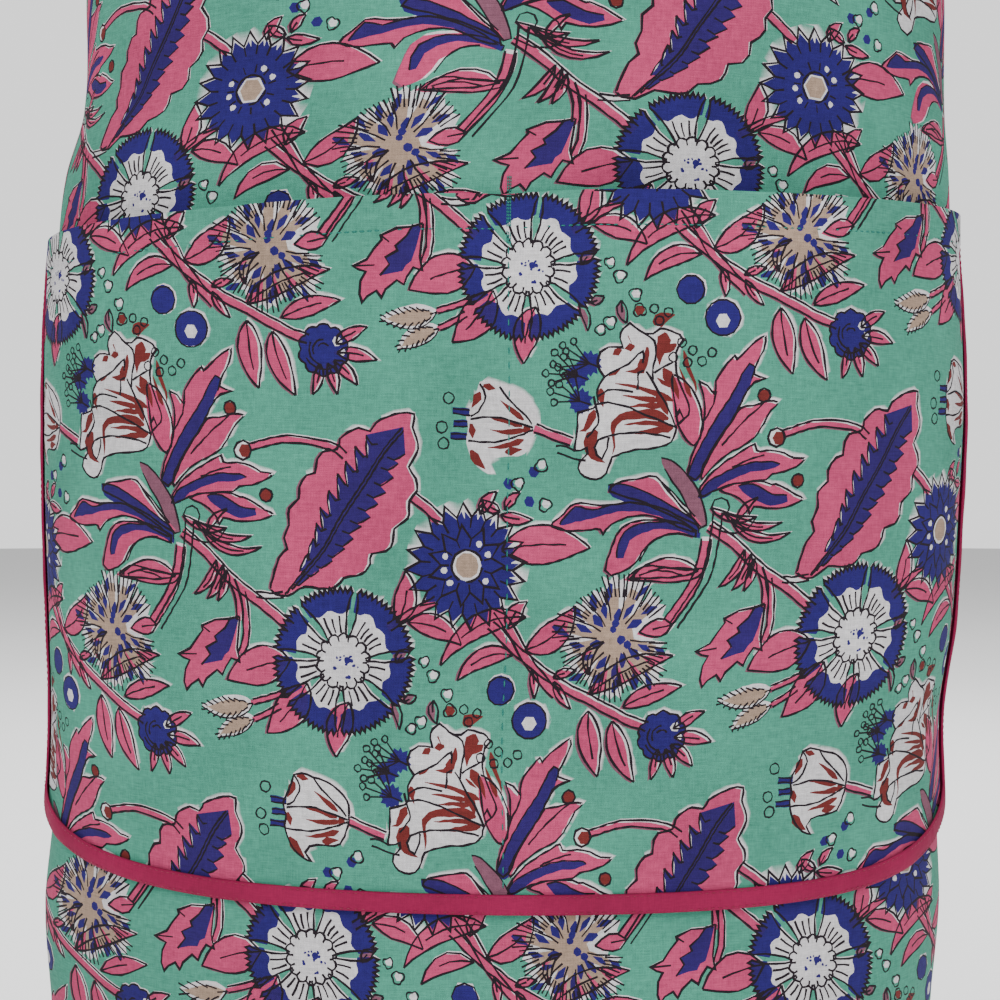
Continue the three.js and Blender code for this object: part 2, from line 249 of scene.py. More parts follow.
# The repeat's motifs, charted in millimetres from the cornflower.
chart = {
    # kind, base, tip, width, bend
    "leaves": [
        ("pink", -22.6, -26.3, -19.8, -7.2, 8.4, -0.08), ("pink", -18.8, -26.2, 1.7, -33.8, 8.4, 0.12),
        ("pink", -63.5, -41.7, -88.6, -51.1, 14.3, -0.05), ("pink", -56.6, -49.7, -72, -69.5, 12.6, 0.06),
        ("pink", -40, -55.7, -44.6, -76.3, 10.1, -0.06), ("pink", -80.9, 85.5, -49.8, 99.3, 8, 0.08),
        ("pink", -67.8, 80.8, -45.5, 88.2, 7.1, 0.05), ("pink", -80.8, 79.6, -76.1, 55.3, 8.8, -0.04),
        ("pink", -71.2, 75.9, -62, 53.1, 8, -0.06), ("pink", -95.1, 91.4, -86.1, 94.2, 3.4, 0.05),
        ("pink", -94.7, 90, -87.4, 80.2, 3.4, -0.05), ("pink", -103.4, 94.2, -101.9, 83.5, 3.4, 0.05),
        ("pink", -109.8, -14.4, -135.8, -17.1, 7.1, -0.1), ("pink", 16.7, 0.7, 50.2, 1.8, 14.3, 0.05),
        ("pink", 22, -37.1, 0.9, -46.8, 7.1, -0.16), ("pink", 26.5, -35.2, 45, -19, 10.1, -0.12),
        ("pink", -106.4, 112.9, -139, 95.1, 8.4, -0.16), ("pink", -113.5, 108.5, -106.3, 118.7, 5.9, 0.1),
        ("small", -106.1, 8.2, -88, 4.7, 2.9, -0.12), ("small", -101.1, 6.4, -78.1, 2.5, 3.4, -0.14),
        ("small", -98.2, 4, -74.3, -1.3, 3.4, -0.18), ("small", -92.3, -7.1, -102.2, -20.4, 3.4, 0.12),
        ("small", -89.9, -8.8, -96.8, -21.8, 3.4, 0.1), ("small", -88.3, -10.5, -92.2, -22.2, 3.4, 0.06),
        ("small", -96.1, 2.7, -88, 11.6, 2.5, 0.1), ("small", 8, 13.2, 14.3, 21.6, 4.6, 0.1),
        ("small", 15.7, 14.4, 8.6, 18.6, 3.8, 0.05), ("small", 15.7, 13.3, 28.5, 11.7, 4.2, -0.05),
        ("small", 17.6, 15.1, 23.2, 21.3, 3.8, 0.1), ("mauve", -23.5, -55, -20.3, -65.2, 2.9, 0.1),
        ("mauve", -19.3, -54.9, -14.1, -52.5, 3.4, 0), ("mauve", -7.8, -53.8, -5.8, -62.6, 3.8, -0.08),
        ("mauve", -22.8, -40.8, -17.3, -35.9, 3.8, 0.1), ("beige", -77.8, -58.7, -99.1, -62, 8.4, 0.05),
        ("beige", -76.9, -64.6, -92.8, -73.1, 7.1, -0.05),
    ],
    # kind, width, points
    "stems": [
        ("pink", 3.8, [(-106.2, 2), (-96.3, -4.9), (-87.5, -13), (-74.6, -21.6), (-63.3, -30)]),
        ("pink", 2.5, [(-86.4, -14), (-83.7, -21.1), (-83.4, -28.5)]),
        ("pink", 3.4, [(-17.6, 19), (-11.8, 14.9), (-6.8, 10.7)]),
        ("pink", 3.4, [(15.1, -20.7), (21.2, -28.8), (26.2, -37), (32.9, -44.8), (39.5, -51.2)]),
        ("pink", 2.9, [(-25.9, -27.9), (-17.3, -22.6), (-8, -17.7)]),
        ("pink", 3.8, [(-107.2, -2.8), (-108.3, -10.2), (-112.2, -20.6), (-120.9, -32.8)]),
        ("pink", 2.5, [(-79.6, 34.2), (-65.1, 37.7), (-49, 36), (-43.3, 32.6)]),
        ("pink", 3.4, [(-120.2, 109.9), (-108.1, 99.7), (-92.3, 89.3), (-78.5, 82.6), (-65.5, 76.1),
            (-57.7, 73.5)]),
        ("pink", 2.9, [(28.1, 44.6), (33.9, 42.5), (42.2, 39.6)]),
        ("pink", 2.1, [(-77.8, -58.3), (-70.2, -55.8), (-63.1, -52.7)]),
        ("pink", 2.1, [(-76.9, -64.6), (-71.6, -61.9), (-66.9, -58.9)]),
        ("pink", 2.5, [(-14.4, 126.1), (-13, 117.9), (-13.1, 108.9), (-14.9, 103.4)]),
        ("line", 3.4, [(-103.2, 6.6), (-104.2, -2.6), (-106.8, -15.7), (-112.8, -25.5), (-118.6, -34)]),
        ("white", 2.1, [(-76.9, -18.5), (-71.4, -18.8), (-66, -18.1)]),
    ],
    # kind, centre, radius
    "balls": [
        ("blueSpot", -103.1, 75.7, 6.7), ("blue", -115.1, 86.2, 5.5), ("berryBig", -82, 33, 3.4),
        ("berry", -87.3, 47.8, 2.5), ("berry", -72.7, 17.4, 2.5), ("ring", -102.3, 8.5, 3.4),
        ("cluster", -51.9, 69.8, 9.2), ("ring", -118.5, 66.8, 1.7), ("ring", -114.5, 64, 1.7),
        ("ring", -116.3, 59.6, 1.7), ("ring", -111, 60.1, 1.7), ("ring", -107.2, 63.1, 1.7),
        ("ring", -121.6, 61.6, 1.7), ("ring", -126.7, 74.8, 1.7), ("ring", -123.5, 77.9, 1.7),
        ("ring", -128.7, 79.3, 1.7), ("ring", -5.3, 54.6, 2.1), ("ring", -7.7, 44.2, 2.1),
        ("ring", -6.7, 38.4, 2.1), ("blue", 18.8, 24.5, 2.1), ("blue", 28.3, 28.9, 2.1),
        ("blue", 27.1, 18.3, 2.1), ("scallop", 22.3, 24.5, 2.5), ("scallop", 30.9, 31.1, 2.5),
        ("scallop", 32.9, 17.1, 2.5), ("scallop", -12, -62, 2.5), ("scallop", -15.7, -64.7, 2.1),
        ("scallop", -2.6, -51.9, 2.5), ("scallop", -8.4, -45.1, 2.5), ("scallop", -12.2, -40.1, 2.1),
        ("brownScallop", -1.1, -57.7, 2.5),
    ],
    "bigLeaf": [
        (-71.2, -16.3), (-67.7, -4.9), (-64.6, -1.4), (-65.8, 2.4), (-63.8, 7.2), (-63.9, 13.1), (-60.1, 16.8),
        (-60.2, 20.9), (-57.3, 25.3), (-54.3, 26.2), (-53.7, 31.2), (-51.9, 33.7), (-46.3, 35), (-45.3, 38.6),
        (-42.1, 41.2), (-38.6, 42.7), (-34.3, 41.8), (-32.1, 44.9), (-27.7, 47.2), (-23.3, 48.6), (-18.1, 48.6),
        (-18.4, 43.9), (-16.3, 38.2), (-16.9, 34), (-19.4, 29.6), (-16.6, 25.4), (-16.1, 21.2), (-19, 17.3),
        (-18.7, 12.9), (-20.7, 10), (-24.4, 7.4), (-24.7, 2.7), (-27.3, -0.6), (-32.6, -1.8), (-33.3, -5.4),
        (-34.8, -8), (-38.4, -9.9), (-43.1, -10.8), (-46.5, -14.4), (-52.5, -15.1), (-57.9, -14.6),
        (-64.4, -18.4), (-69.1, -18),
    ],
    "bigSpine": [
        (-65.2, -17.9), (-59.7, -11.3), (-51, -1.1), (-44.3, 10.6), (-36, 23.4), (-28.9, 35), (-21.7, 43.7),
    ],
    "serrated": [
        (-83.4, -27), (-88, -28.4), (-93.3, -29), (-99.2, -31.9), (-98.7, -33.3), (-101.5, -36.7),
        (-104.3, -40.7), (-109.4, -43.4), (-107.1, -44.6), (-104.5, -45.2), (-106.3, -48.6), (-106.8, -53.4),
        (-105.7, -56.5), (-103.7, -54.1), (-100.5, -52.1), (-98.7, -54.5), (-97.1, -51.4), (-92.8, -47.7),
        (-90.4, -49.3), (-89.1, -46.3), (-86.8, -42.8), (-83.4, -43.8), (-84.5, -38.9), (-83.9, -32.7),
    ],
    "heart": [
        (-87, -27.6), (-89.7, -31.8), (-93.7, -35.3), (-92.9, -37), (-97.5, -39.7), (-95.8, -42.1),
        (-99.3, -46.4), (-94.4, -45), (-90.7, -44.2), (-89.6, -41.9), (-87.6, -40.5), (-86, -35.7),
        (-83.9, -28),
    ],
    "parrot": [
        (13, -98.9), (17, -95.1), (17.3, -91.7), (15.3, -87.2), (12.6, -80.5), (12.3, -75.1), (13.1, -71.3),
        (15.1, -68.8), (13.7, -66.7), (10.5, -65.5), (6.4, -64.4), (3.8, -66.4), (0.7, -66.4), (-2.5, -63.9),
        (-4.8, -62.3), (-7.3, -64.4), (-8.3, -67.8), (-7.4, -71.2), (-9.8, -70.8), (-12.5, -70.9),
        (-15.5, -72.7), (-16.8, -75.7), (-15.9, -79), (-14.2, -81.5), (-16, -84), (-16.8, -87.4),
        (-16.5, -90.8), (-18, -92.6), (-21, -93.5), (-23.7, -94.1), (-24, -101.3), (-24.6, -107.7),
        (-20.3, -106.6), (-19.9, -108.7), (-22.6, -111.4), (-23.1, -113.9), (-20.6, -116.7), (-16.2, -117.9),
        (-12.7, -115.5), (-10.6, -109.9), (-8.6, -109), (-2.3, -107.3), (4.4, -106.8), (9.3, -105.6),
        (12, -103.1),
    ],
    "bell": [
        (28.1, 46.1), (27.2, 52.1), (22.1, 57.2), (14.5, 59.7), (9.7, 61), (6.6, 60.1), (5.7, 57.4), (4, 53.6),
        (1.8, 49.2), (2.7, 44.9), (2, 41), (2.9, 36.7), (5, 32.5), (8.6, 29.3), (12.1, 28.1), (10, 31.2),
        (11.9, 33.7), (15, 34.5), (19.6, 34.6), (24, 35.5), (26.7, 40.3),
    ],
    "parrotBlue": [
        (-19.9, -76.6), (-24.4, -81), (-23.1, -89.9),
    ],
    "petals": [
        [(-121.9, 55.6), (-117.2, 53), (-113.6, 48.7), (-111.1, 42.9), (-110.7, 38.1), (-111.2, 32.9),
            (-113.3, 30.4), (-116.3, 32.6), (-119.4, 37.7), (-121, 45), (-121.8, 50.9)],
        [(-87, 69.2), (-87.7, 64), (-90, 59.5), (-91.4, 55.4), (-86.7, 53.8), (-91.2, 52.2), (-94, 49.2),
            (-96.3, 45.1), (-98.9, 40.2), (-103, 34.1), (-107.2, 27.2), (-110.2, 20.4), (-112.6, 18.3),
            (-115.2, 20), (-114.1, 26.8), (-111.3, 33.6), (-110, 38.9), (-109.9, 44.1), (-110.4, 48.5),
            (-111.8, 52.8), (-108.8, 51.5), (-106.1, 48.6), (-105.7, 53.1), (-102.8, 57.6), (-98.6, 62.1),
            (-97.7, 60.6), (-94.5, 63.8)],
        [(-81.7, 45.3), (-84.6, 42.7), (-87.2, 38.2), (-90.5, 33.3), (-94.6, 30.3), (-98.7, 28.4),
            (-102.9, 25.6), (-106.8, 22.1), (-109.8, 18.5), (-110.2, 21.9), (-107.2, 28), (-103, 34.5),
            (-98.9, 39.8), (-96.3, 43.6), (-91.5, 44.2), (-86.7, 45.7)],
        [(-70.1, 25.2), (-73.6, 22.5), (-78.3, 20.8), (-83, 19.9), (-85.4, 18), (-90.3, 17.5),
            (-97.8, 16.7), (-103.7, 14.9), (-109.8, 12.2), (-110.9, 14.4), (-107.2, 19.8), (-102, 24.2),
            (-96.6, 27.5), (-90.5, 30.7), (-89.6, 28.3), (-84, 28.4), (-78.8, 27.5), (-74.8, 25.7)],
        [(-69.9, 10.6), (-74.6, 8.5), (-79.8, 7.5), (-84.6, 7.6), (-89.5, 8.4), (-91, 5.9), (-92.1, 8.6),
            (-95.2, 11.1), (-98.6, 13.1), (-102.8, 14.5), (-97.8, 16.6), (-90.3, 17.5), (-85.6, 17.1),
            (-83, 16.1), (-81.4, 16.4), (-76.6, 14.3), (-73, 12.1)],
        [(-141.4, 17.4), (-134.4, 18.7), (-127.2, 19.5), (-122.1, 14.3), (-116.9, 8.7), (-112.1, 4.2),
            (-110, 1.8), (-115.3, 4), (-120.8, 6.8), (-127, 9), (-134.5, 11.5), (-144, 14.5)],
        [(-165.6, 1.9), (-160.9, 6.3), (-156.6, 10), (-145.4, 9.4), (-134.5, 10.3), (-124.6, 7.4),
            (-116.2, 3.2), (-111.8, -0.2), (-118.1, 1.5), (-125.6, 5), (-134.6, 5.6), (-142.8, 2.7),
            (-146.2, -0.9), (-147.2, 0.9), (-157.7, 0.2)],
        [(-111.4, 0), (-118.6, 3.2), (-126.6, 4.2), (-135.7, 3.2), (-140.2, -0.1), (-142.7, -5.7),
            (-145, -13.7), (-142.7, -15.7), (-135.4, -12.7), (-132.4, -9.3), (-129.9, -5.4), (-124.9, -2.1),
            (-118.2, -0.8), (-111.4, -2.2)],
        [(-136.7, -16.8), (-131.3, -12.7), (-125.3, -12.4), (-118.7, -13.6), (-112.3, -13.9),
            (-108.2, -13.5), (-109.9, -16.4), (-115.2, -17.9), (-122.7, -18.2), (-129.6, -17.6)],
    ],
    "petalBlue": [
        [(-115.2, 20), (-111.2, 29.9), (-105.5, 39.9), (-99.6, 48.3), (-95, 56.8), (-93.1, 59), (-91.1, 58),
            (-93, 51.4), (-96.3, 45.4), (-98.9, 40), (-103, 33.9), (-107.2, 27.1), (-109.8, 21), (-112, 17.9)],
        [(-110.9, 12), (-108.7, 16.6), (-102.9, 20.1), (-96.1, 23), (-89.6, 24.4), (-81.7, 24.2),
            (-80.3, 23.4), (-84.7, 21.7), (-89.5, 21.5), (-96.1, 19.6), (-102.8, 16.5), (-107, 12.8)],
        [(-95.9, 15.9), (-90.3, 16.6), (-86, 14.5), (-82.8, 12.8), (-76.6, 12.1), (-76.2, 10.2),
            (-81.4, 8.7), (-87, 9.9), (-91.1, 11.8), (-94.2, 14)],
        [(-144.7, 16.5), (-138.4, 16.7), (-131.2, 14.4), (-124.3, 11.1), (-118.7, 7.8), (-111.5, 3.2),
            (-110.4, -0.9), (-117, 1.8), (-122.7, 4.5), (-129.5, 7.6), (-136.6, 10.1), (-142.9, 12.7)],
        [(-162.5, 2.5), (-156.6, 8.9), (-150.3, 7.7), (-140.9, 10.1), (-131.4, 10.1), (-122.2, 7.4),
            (-124.4, 5.7), (-132.5, 7.3), (-141, 7.3), (-150.4, 4.9), (-158.2, 3.3)],
        [(-140.6, -9.5), (-140.4, -4.7), (-137.8, -0), (-132.7, 2.7), (-124.7, 3.4), (-117, 2.6),
            (-109.5, -0.6), (-110.1, -2.4), (-117.2, 0.3), (-124.8, 1.2), (-131.5, -0.4), (-136, -3.1),
            (-138.4, -9.1)],
    ],
    "petalMauve": [
        [(-125.3, 26.1), (-121.6, 25.4), (-116.1, 20.7), (-111.6, 15.1), (-108.8, 8.6), (-107.3, 2),
            (-110, 1), (-113.5, 6), (-117, 12.4), (-121.6, 18.9), (-124, 22.4)],
    ],
    "petalLines": [
        [(-111.3, 41.8), (-110.7, 38.1), (-111.2, 32.9)], [(-105.7, 49.4), (-106.6, 45), (-110, 38.9)],
        [(-86.9, 53.8), (-90.8, 52.6), (-94, 49.9)], [(-87.5, 45.1), (-93.1, 40.5), (-98.8, 35), (-103, 30.4)],
        [(-86.4, 26.9), (-92.9, 25.1), (-98.6, 22.6)],
        [(-132.5, -15.8), (-127.4, -14.1), (-121.6, -14.3), (-116, -15.7)],
        [(-126.6, 19.2), (-120.7, 14), (-115.2, 8.5), (-111.7, 5)],
        [(-106.4, 2.1), (-99.6, -0.8), (-94.6, -0.9), (-90.8, 1.3), (-88.5, 4.4)],
        [(-132.2, -10.8), (-128.9, -5.1), (-123.9, -1.6), (-117.3, -0.5)],
    ],
    "parrotLines": [
        [(12.7, -99.7), (9.4, -92.6), (6.3, -87.7), (3.7, -83.1), (1.4, -79.8)],
        [(3.7, -82.7), (3.7, -79.4), (4.9, -73.5), (4.4, -68.9), (0.7, -66.4)],
        [(4.1, -80.4), (7.2, -78.5), (11.2, -76.6)],
        [(-14.2, -81.5), (-9.7, -79.2), (-5.3, -77), (0, -72.7), (0.1, -76.9)],
        [(0.5, -79.4), (-1.5, -80.3), (-1.7, -83.6), (-1.9, -86.2)],
        [(-16.4, -88.3), (-12.8, -86.3), (-8.4, -86.1), (-3.5, -87)],
        [(-16.9, -91.3), (-12.9, -90.6), (-6.6, -91.8), (-0.9, -94.1), (5.4, -96.5), (9.8, -98.5),
            (12.7, -99.5)],
        [(-17.4, -106.9), (-15.8, -103.8), (-12.1, -102.4), (-6.3, -101.4), (0.9, -101.4), (7.1, -102.3),
            (10.7, -103.1)],
        [(-17.1, -106.8), (-16.3, -109.3), (-14.5, -110.6), (-12.7, -106.7), (-12.1, -102.9)],
        [(12.5, -96), (13.9, -93.5), (15.4, -96.3)],
        [(-18.2, -88.3), (-16.9, -92.9), (-15.9, -96.7), (-17.5, -99.7), (-20.2, -102.8)],
        [(-24.6, -107.7), (-28, -106), (-31.9, -105.9)], [(-20.2, -111.1), (-24.9, -110.3), (-31.2, -108.4)],
    ],
    "bellLines": [
        [(27.4, 44.6), (20.4, 46.8), (12.6, 48.5), (3, 47.5)],
        [(27.4, 43.9), (21.7, 41.8), (12.8, 39.5), (2.5, 39.6)],
        [(14.3, 59.7), (17.5, 55.4), (23, 50.4), (26.9, 46.1)],
        [(6.6, 60.1), (8.9, 55.9), (6, 50.1), (3, 48.5)],
    ],
    "bellBlue": [
        [(-3.5, 50.1), (2.9, 49.6)], [(-3.2, 45.5), (2.3, 45.6)], [(-4.2, 41.1), (2, 41)],
    ],
    "parrotStreaks": [
        (1.1, [(11.2, -90.1), (5.4, -87.7), (-0.8, -85.7), (-10.1, -83.8)]),
        (1, [(6.3, -90.2), (-0.8, -89.1), (-7.5, -88.2)]), (1, [(7.2, -92.3), (0.9, -91.6), (-4.9, -92.1)]),
        (1.9, [(9.8, -96.4), (3.6, -94.8), (-2.7, -95), (-8, -95.9), (-10.3, -98.2), (-10.6, -101.5),
            (-10, -106.1), (-10.4, -109.1)]),
        (1, [(9.8, -98.5), (1.3, -97.8), (-6.7, -98.4)]), (1.3, [(11.6, -99.7), (3.6, -100.7), (-4.5, -101.7)]),
        (2.5, [(-16.6, -100.5), (-19.4, -104.8), (-17.6, -109.4), (-13.1, -111.7)]),
        (2.1, [(7.6, -78.9), (10.3, -83.1), (12.6, -86.8), (13.5, -89.7)]), (0.9, [(5.5, -82.3), (9.9, -85.6)]),
        (2.9, [(8.7, -66), (7.5, -70.1), (6.2, -75.1), (6.1, -77.7)]), (1.7, [(12.4, -70), (8, -73.5)]),
        (2.1, [(-2.7, -70.7), (-6.7, -71.6)]), (1.1, [(-5.5, -67), (-4.1, -69.9)]),
        (2.1, [(-8, -71.6), (-11.1, -73.8)]), (1.9, [(-0.4, -75.2), (-0.8, -79.4), (-6.2, -79.6)]),
        (0.9, [(-12.4, -81.2), (-8.4, -79.2)]), (1.1, [(1.8, -71), (1, -79.4)]),
        (1.7, [(-15.5, -85.7), (-15.2, -89.5), (-14.3, -92.4)]),
        (1.7, [(-17.4, -93.3), (-21.1, -100.3), (-23.3, -100.8)]),
        (2.1, [(5.2, -87.7), (8.1, -91.8), (9.4, -95.2)]),
        (0.9, [(15.2, -72.6), (17, -79.2), (19.3, -84.1), (19.8, -87.5)]),
        (0.9, [(17.9, -88.9), (13.4, -78.4)]), (2.9, [(4.1, -62.6), (7.6, -60.6), (11.9, -59.6)]),
    ],
    "bellStreaks": [
        (1.9, [(7.8, 59.8), (12.4, 58.6)]), (2.1, [(6.6, 57.3), (3.7, 51.4)]),
        (1.3, [(23.8, 47.5), (18.3, 51.8), (14.4, 54.7)]), (1.3, [(23.1, 45.4), (16.5, 47.2), (10.6, 48.1)]),
        (1.3, [(24.7, 43.9), (17.8, 43.2), (10.8, 43.8)]), (1.3, [(24, 40.3), (16.8, 38.2), (10.2, 37.3)]),
        (2.1, [(3.4, 45.7), (4.3, 40.7)]), (2.3, [(3.7, 36.4), (6.5, 32.2), (9.7, 29.7)]),
        (2.5, [(26.2, 44.6), (23.2, 43.2)]), (2.1, [(16.8, 36), (23.4, 37.1)]),
    ],
}

detail = dict(fineDetail)
shapes = []  # (ink, outline) of the repeat that is being drawn
dice = random.Random(7)


def turnOf(outline):
    return np.sum(outline[:, 0] * np.roll(outline[:, 1], -1) - np.roll(outline[:, 0], -1) * outline[:, 1])


# Every outline runs anticlockwise, which the cutting needs.
def ink(kind, outline, slip=(0, 0)):
    outline = np.asarray(outline, float) + slip
    if len(outline) > 2:
        shapes.append((kind, outline if turnOf(outline) > 0 else outline[::-1]))


# A smooth line through points, with a point about every step.
def flow(points, closed=False, step=None):
    points = np.asarray(points, float)
    step = step or detail["step"]
    count = len(points)
    if closed:
        row = np.concatenate([points[-1:], points, points[:2]])
        count += 1
    else:
        row = np.concatenate([2 * points[:1] - points[1:2], points, 2 * points[-1:] - points[-2:-1]])
    made = []
    for i in range(1, count):
        a, b, c, d = row[i - 1:i + 3]
        pieces = max(1, int(round(np.linalg.norm(c - b) / step)))
        square, cube = 2 * a - 5 * b + 4 * c - d, 3 * b - a - 3 * c + d
        for t in np.arange(pieces) / pieces:
            made.append(0.5 * (2 * b + (c - a) * t + square * t * t + cube * t ** 3))
    if not closed:
        made.append(points[-1])
    return np.array(made)


def sideways(line):
    along = np.diff(line, axis=0)
    along /= np.maximum(np.linalg.norm(along, axis=1), 1e-6)[:, None]
    before, after = np.concatenate([along[:1], along]), np.concatenate([along, along[-1:]])
    mean = before + after
    mean /= np.maximum(np.linalg.norm(mean, axis=1), 1e-6)[:, None]
    mitre = 1 / np.maximum(np.sum(mean * after, axis=1), 0.42)
    return np.stack([-mean[:, 1], mean[:, 0]], 1) * mitre[:, None]


def bothSides(line, half):
    side = sideways(line) * half[:, None]
    return np.concatenate([line + side, (line - side)[::-1]])


def ribbon(line, width, taper=0.0):
    return bothSides(line, width / 2 * (1 - taper * np.linspace(0, 1, len(line))))


# A brush stroke: thick where it starts, drawn out to a point.
def brush(line, width):
    share = np.linspace(0, 1, len(line))
    return bothSides(line, width / 2 * np.minimum(1, (share + 0.02) * 9) * (1 - share ** 1.8) + 0.12)


def grow(outline, by):
    along = np.roll(outline, -1, 0) - np.roll(outline, 1, 0)
    along /= np.maximum(np.linalg.norm(along, axis=1), 1e-6)[:, None]
    out = np.stack([along[:, 1], -along[:, 0]], 1) * (1 if turnOf(outline) > 0 else -1)
    return outline + out * by


def drawLine(line, width=1.0, closed=False):
    if not detail["lines"]:
        return
    if closed:
        line = np.concatenate([line, line[:1]])
    ink("line", ribbon(line, repeat["lineWidth"] * width))


def leaveWhite(outline, edge=1.0):
    ink("paper", grow(outline, repeat["paperEdge"] * edge), repeat["paperSlip"])
    if detail["halo"] and edge >= 1.0:
        ink("halo", grow(outline, repeat["haloEdge"] * edge)[::2], repeat["paperSlip"])


# Points round a centre, from their distances and their turns.
def spokes(centre, radii, turns):
    return np.array(centre) + np.reshape(radii, (-1, 1)) * np.stack([np.cos(turns), np.sin(turns)], -1)


def disc(centre, radius, parts=None):
    parts = parts or max(6, int(radius * 5 / detail["step"]))
    return spokes(centre, radius, np.arange(parts) / parts * 2 * np.pi)


def drawRing(centre, radius, width=1.0):
    count = max(8, int(radius * 5 / detail["step"])) // 2 + 1
    for start in (0.0, np.pi):
        drawLine(spokes(centre, radius, start + np.linspace(0, np.pi, count)), width)


def drawLeaf(kind, x0, y0, x1, y1, width, bend):
    base, tip = np.array((x0, y0)), np.array((x1, y1))
    length = np.linalg.norm(tip - base)
    count = max(5, int(length / detail["step"]) + 1)
    t = np.linspace(0, 1, count)
    side = np.array((base[1] - tip[1], tip[0] - base[0])) / length
    spine = base + t[:, None] * (tip - base) + side * (bend * length * 4 * t * (1 - t))[:, None]
    lean = sideways(spine) * (width / 2 * np.sin(np.pi * t ** 0.82) ** 0.92)[:, None]
    left, right = spine + lean, spine - lean
    outline = np.concatenate([left[:-1], right[:0:-1]])
    if kind == "beige":
        leaveWhite(outline, 0.6)
        ink("beige", grow(outline, -width * 0.14))
        hatch = max(4, int(length / 2.2))
        for k in range(hatch):
            i = int((k + 0.6) / hatch * (count - 1))
            for edge in (left, right):
                at = spine[i] + (edge[i] - spine[i]) * 0.45
                end = edge[i] + (spine[min(i + 1, count - 1)] - spine[i]) * 1.1
                drawLine(np.array([at, (at + end) / 2, end]), 0.8)
        drawLine(left, 0.7)
        return
    if kind != "mauve" and detail["lines"]:
        leaveWhite(outline, 0.75 if width < 5 else 1.0)
    ink("pink", outline, repeat["pinkSlip"])
    if kind == "stripe":
        some = spine[: int(count * 0.84)]
        ink("blue", ribbon(some, width * 0.42, 0.45), repeat["blueSlip"])
        drawLine(some + lean[: len(some)] * 0.12, 0.8)
    elif width > 3:
        drawLine(spine[: max(3, int(count * 0.76))], 0.85)
    for edge in (left, right):
        drawLine(edge)


def drawStem(kind, width, points):
    line = flow(points)
    outline = ribbon(line, width)
    if kind != "line" and detail["lines"]:
        leaveWhite(outline, 0.8)
    if kind == "pink":
        ink("pink", outline, (-0.6, -0.5))
    side = sideways(line) * width / 2
    drawLine(line + side)
    drawLine(line - side)


def drawBall(kind, x, y, radius):
    centre = (x, y)
    if kind == "ring":
        drawRing(centre, radius, 0.75)
    elif kind == "blue":
        if radius > 3:
            leaveWhite(disc(centre, radius), 0.7)
        ink("blue", disc(centre, radius))
        if radius > 3:
            drawRing(centre, radius * 0.96, 0.8)
    elif kind == "blueSpot":
        leaveWhite(disc(centre, radius), 1.0)
        ink("blue", disc(centre, radius))
        ink("white", disc((x, y - 1.0), radius * 0.42))
        drawRing(centre, radius, 0.8)
    elif kind == "berry":
        ink("brown", disc(centre, radius))
        drawRing(centre, radius, 0.9)
    elif kind == "berryBig":
        leaveWhite(disc(centre, radius), 0.6)
        ink("brown", disc((x + 0.9, y - 0.3), radius * 0.78))
        drawRing(centre, radius, 1.0)
    elif kind in ("scallop", "brownScallop"):
        if kind == "brownScallop":
            ink("brown", disc(centre, radius * 0.8))
        elif detail["small"]:
            leaveWhite(disc(centre, radius * 0.6), 0.5)
        turn = np.linspace(0, 2 * np.pi, 25)
        bulge = radius * (0.72 + 0.3 * np.abs(np.sin(1.5 * turn + x)))
        drawLine(spokes(centre, bulge, turn), 0.8)


# A berry with a scalloped skin, set in pink sepals.
sepals = [(0.5, 2.0, 4.6), (-0.15, 2.2, 5.0), (-0.75, 1.9, 4.4), (-1.25, 1.8, 4.0), (-1.8, 1.8, 3.6)]


def drawCluster(x, y, radius):
    for turn, reach, wide in sepals:
        drawLeaf("pink", *spokes((x, y), [radius * 0.55, radius * reach], turn).ravel(), wide, 0.05)
    turn = np.linspace(0, 2 * np.pi, 41)[:-1]
    outline = spokes((x, y), radius * (0.92 + 0.12 * np.abs(np.sin(5 * turn))), turn)
    leaveWhite(outline, 1.0)
    ink("blue", outline)
    ink("white", disc((x + radius * 0.55, y + radius * 0.35), radius * 0.2))
    ink("white", disc((x + radius * 0.75, y - radius * 0.05), radius * 0.15))
    drawLine(outline, 0.9, True)
    for k in range(4):
        drawLine(spokes((x, y), radius * (0.25 + 0.17 * k), np.linspace(0.6 + k, 2.6 + k, 7)), 0.8)


cornflower = {"at": (3.3, -5.2), "petals": 20, "tip": 23.0, "valley": 17.6, "inner": 12.2, "heart": 4.6}


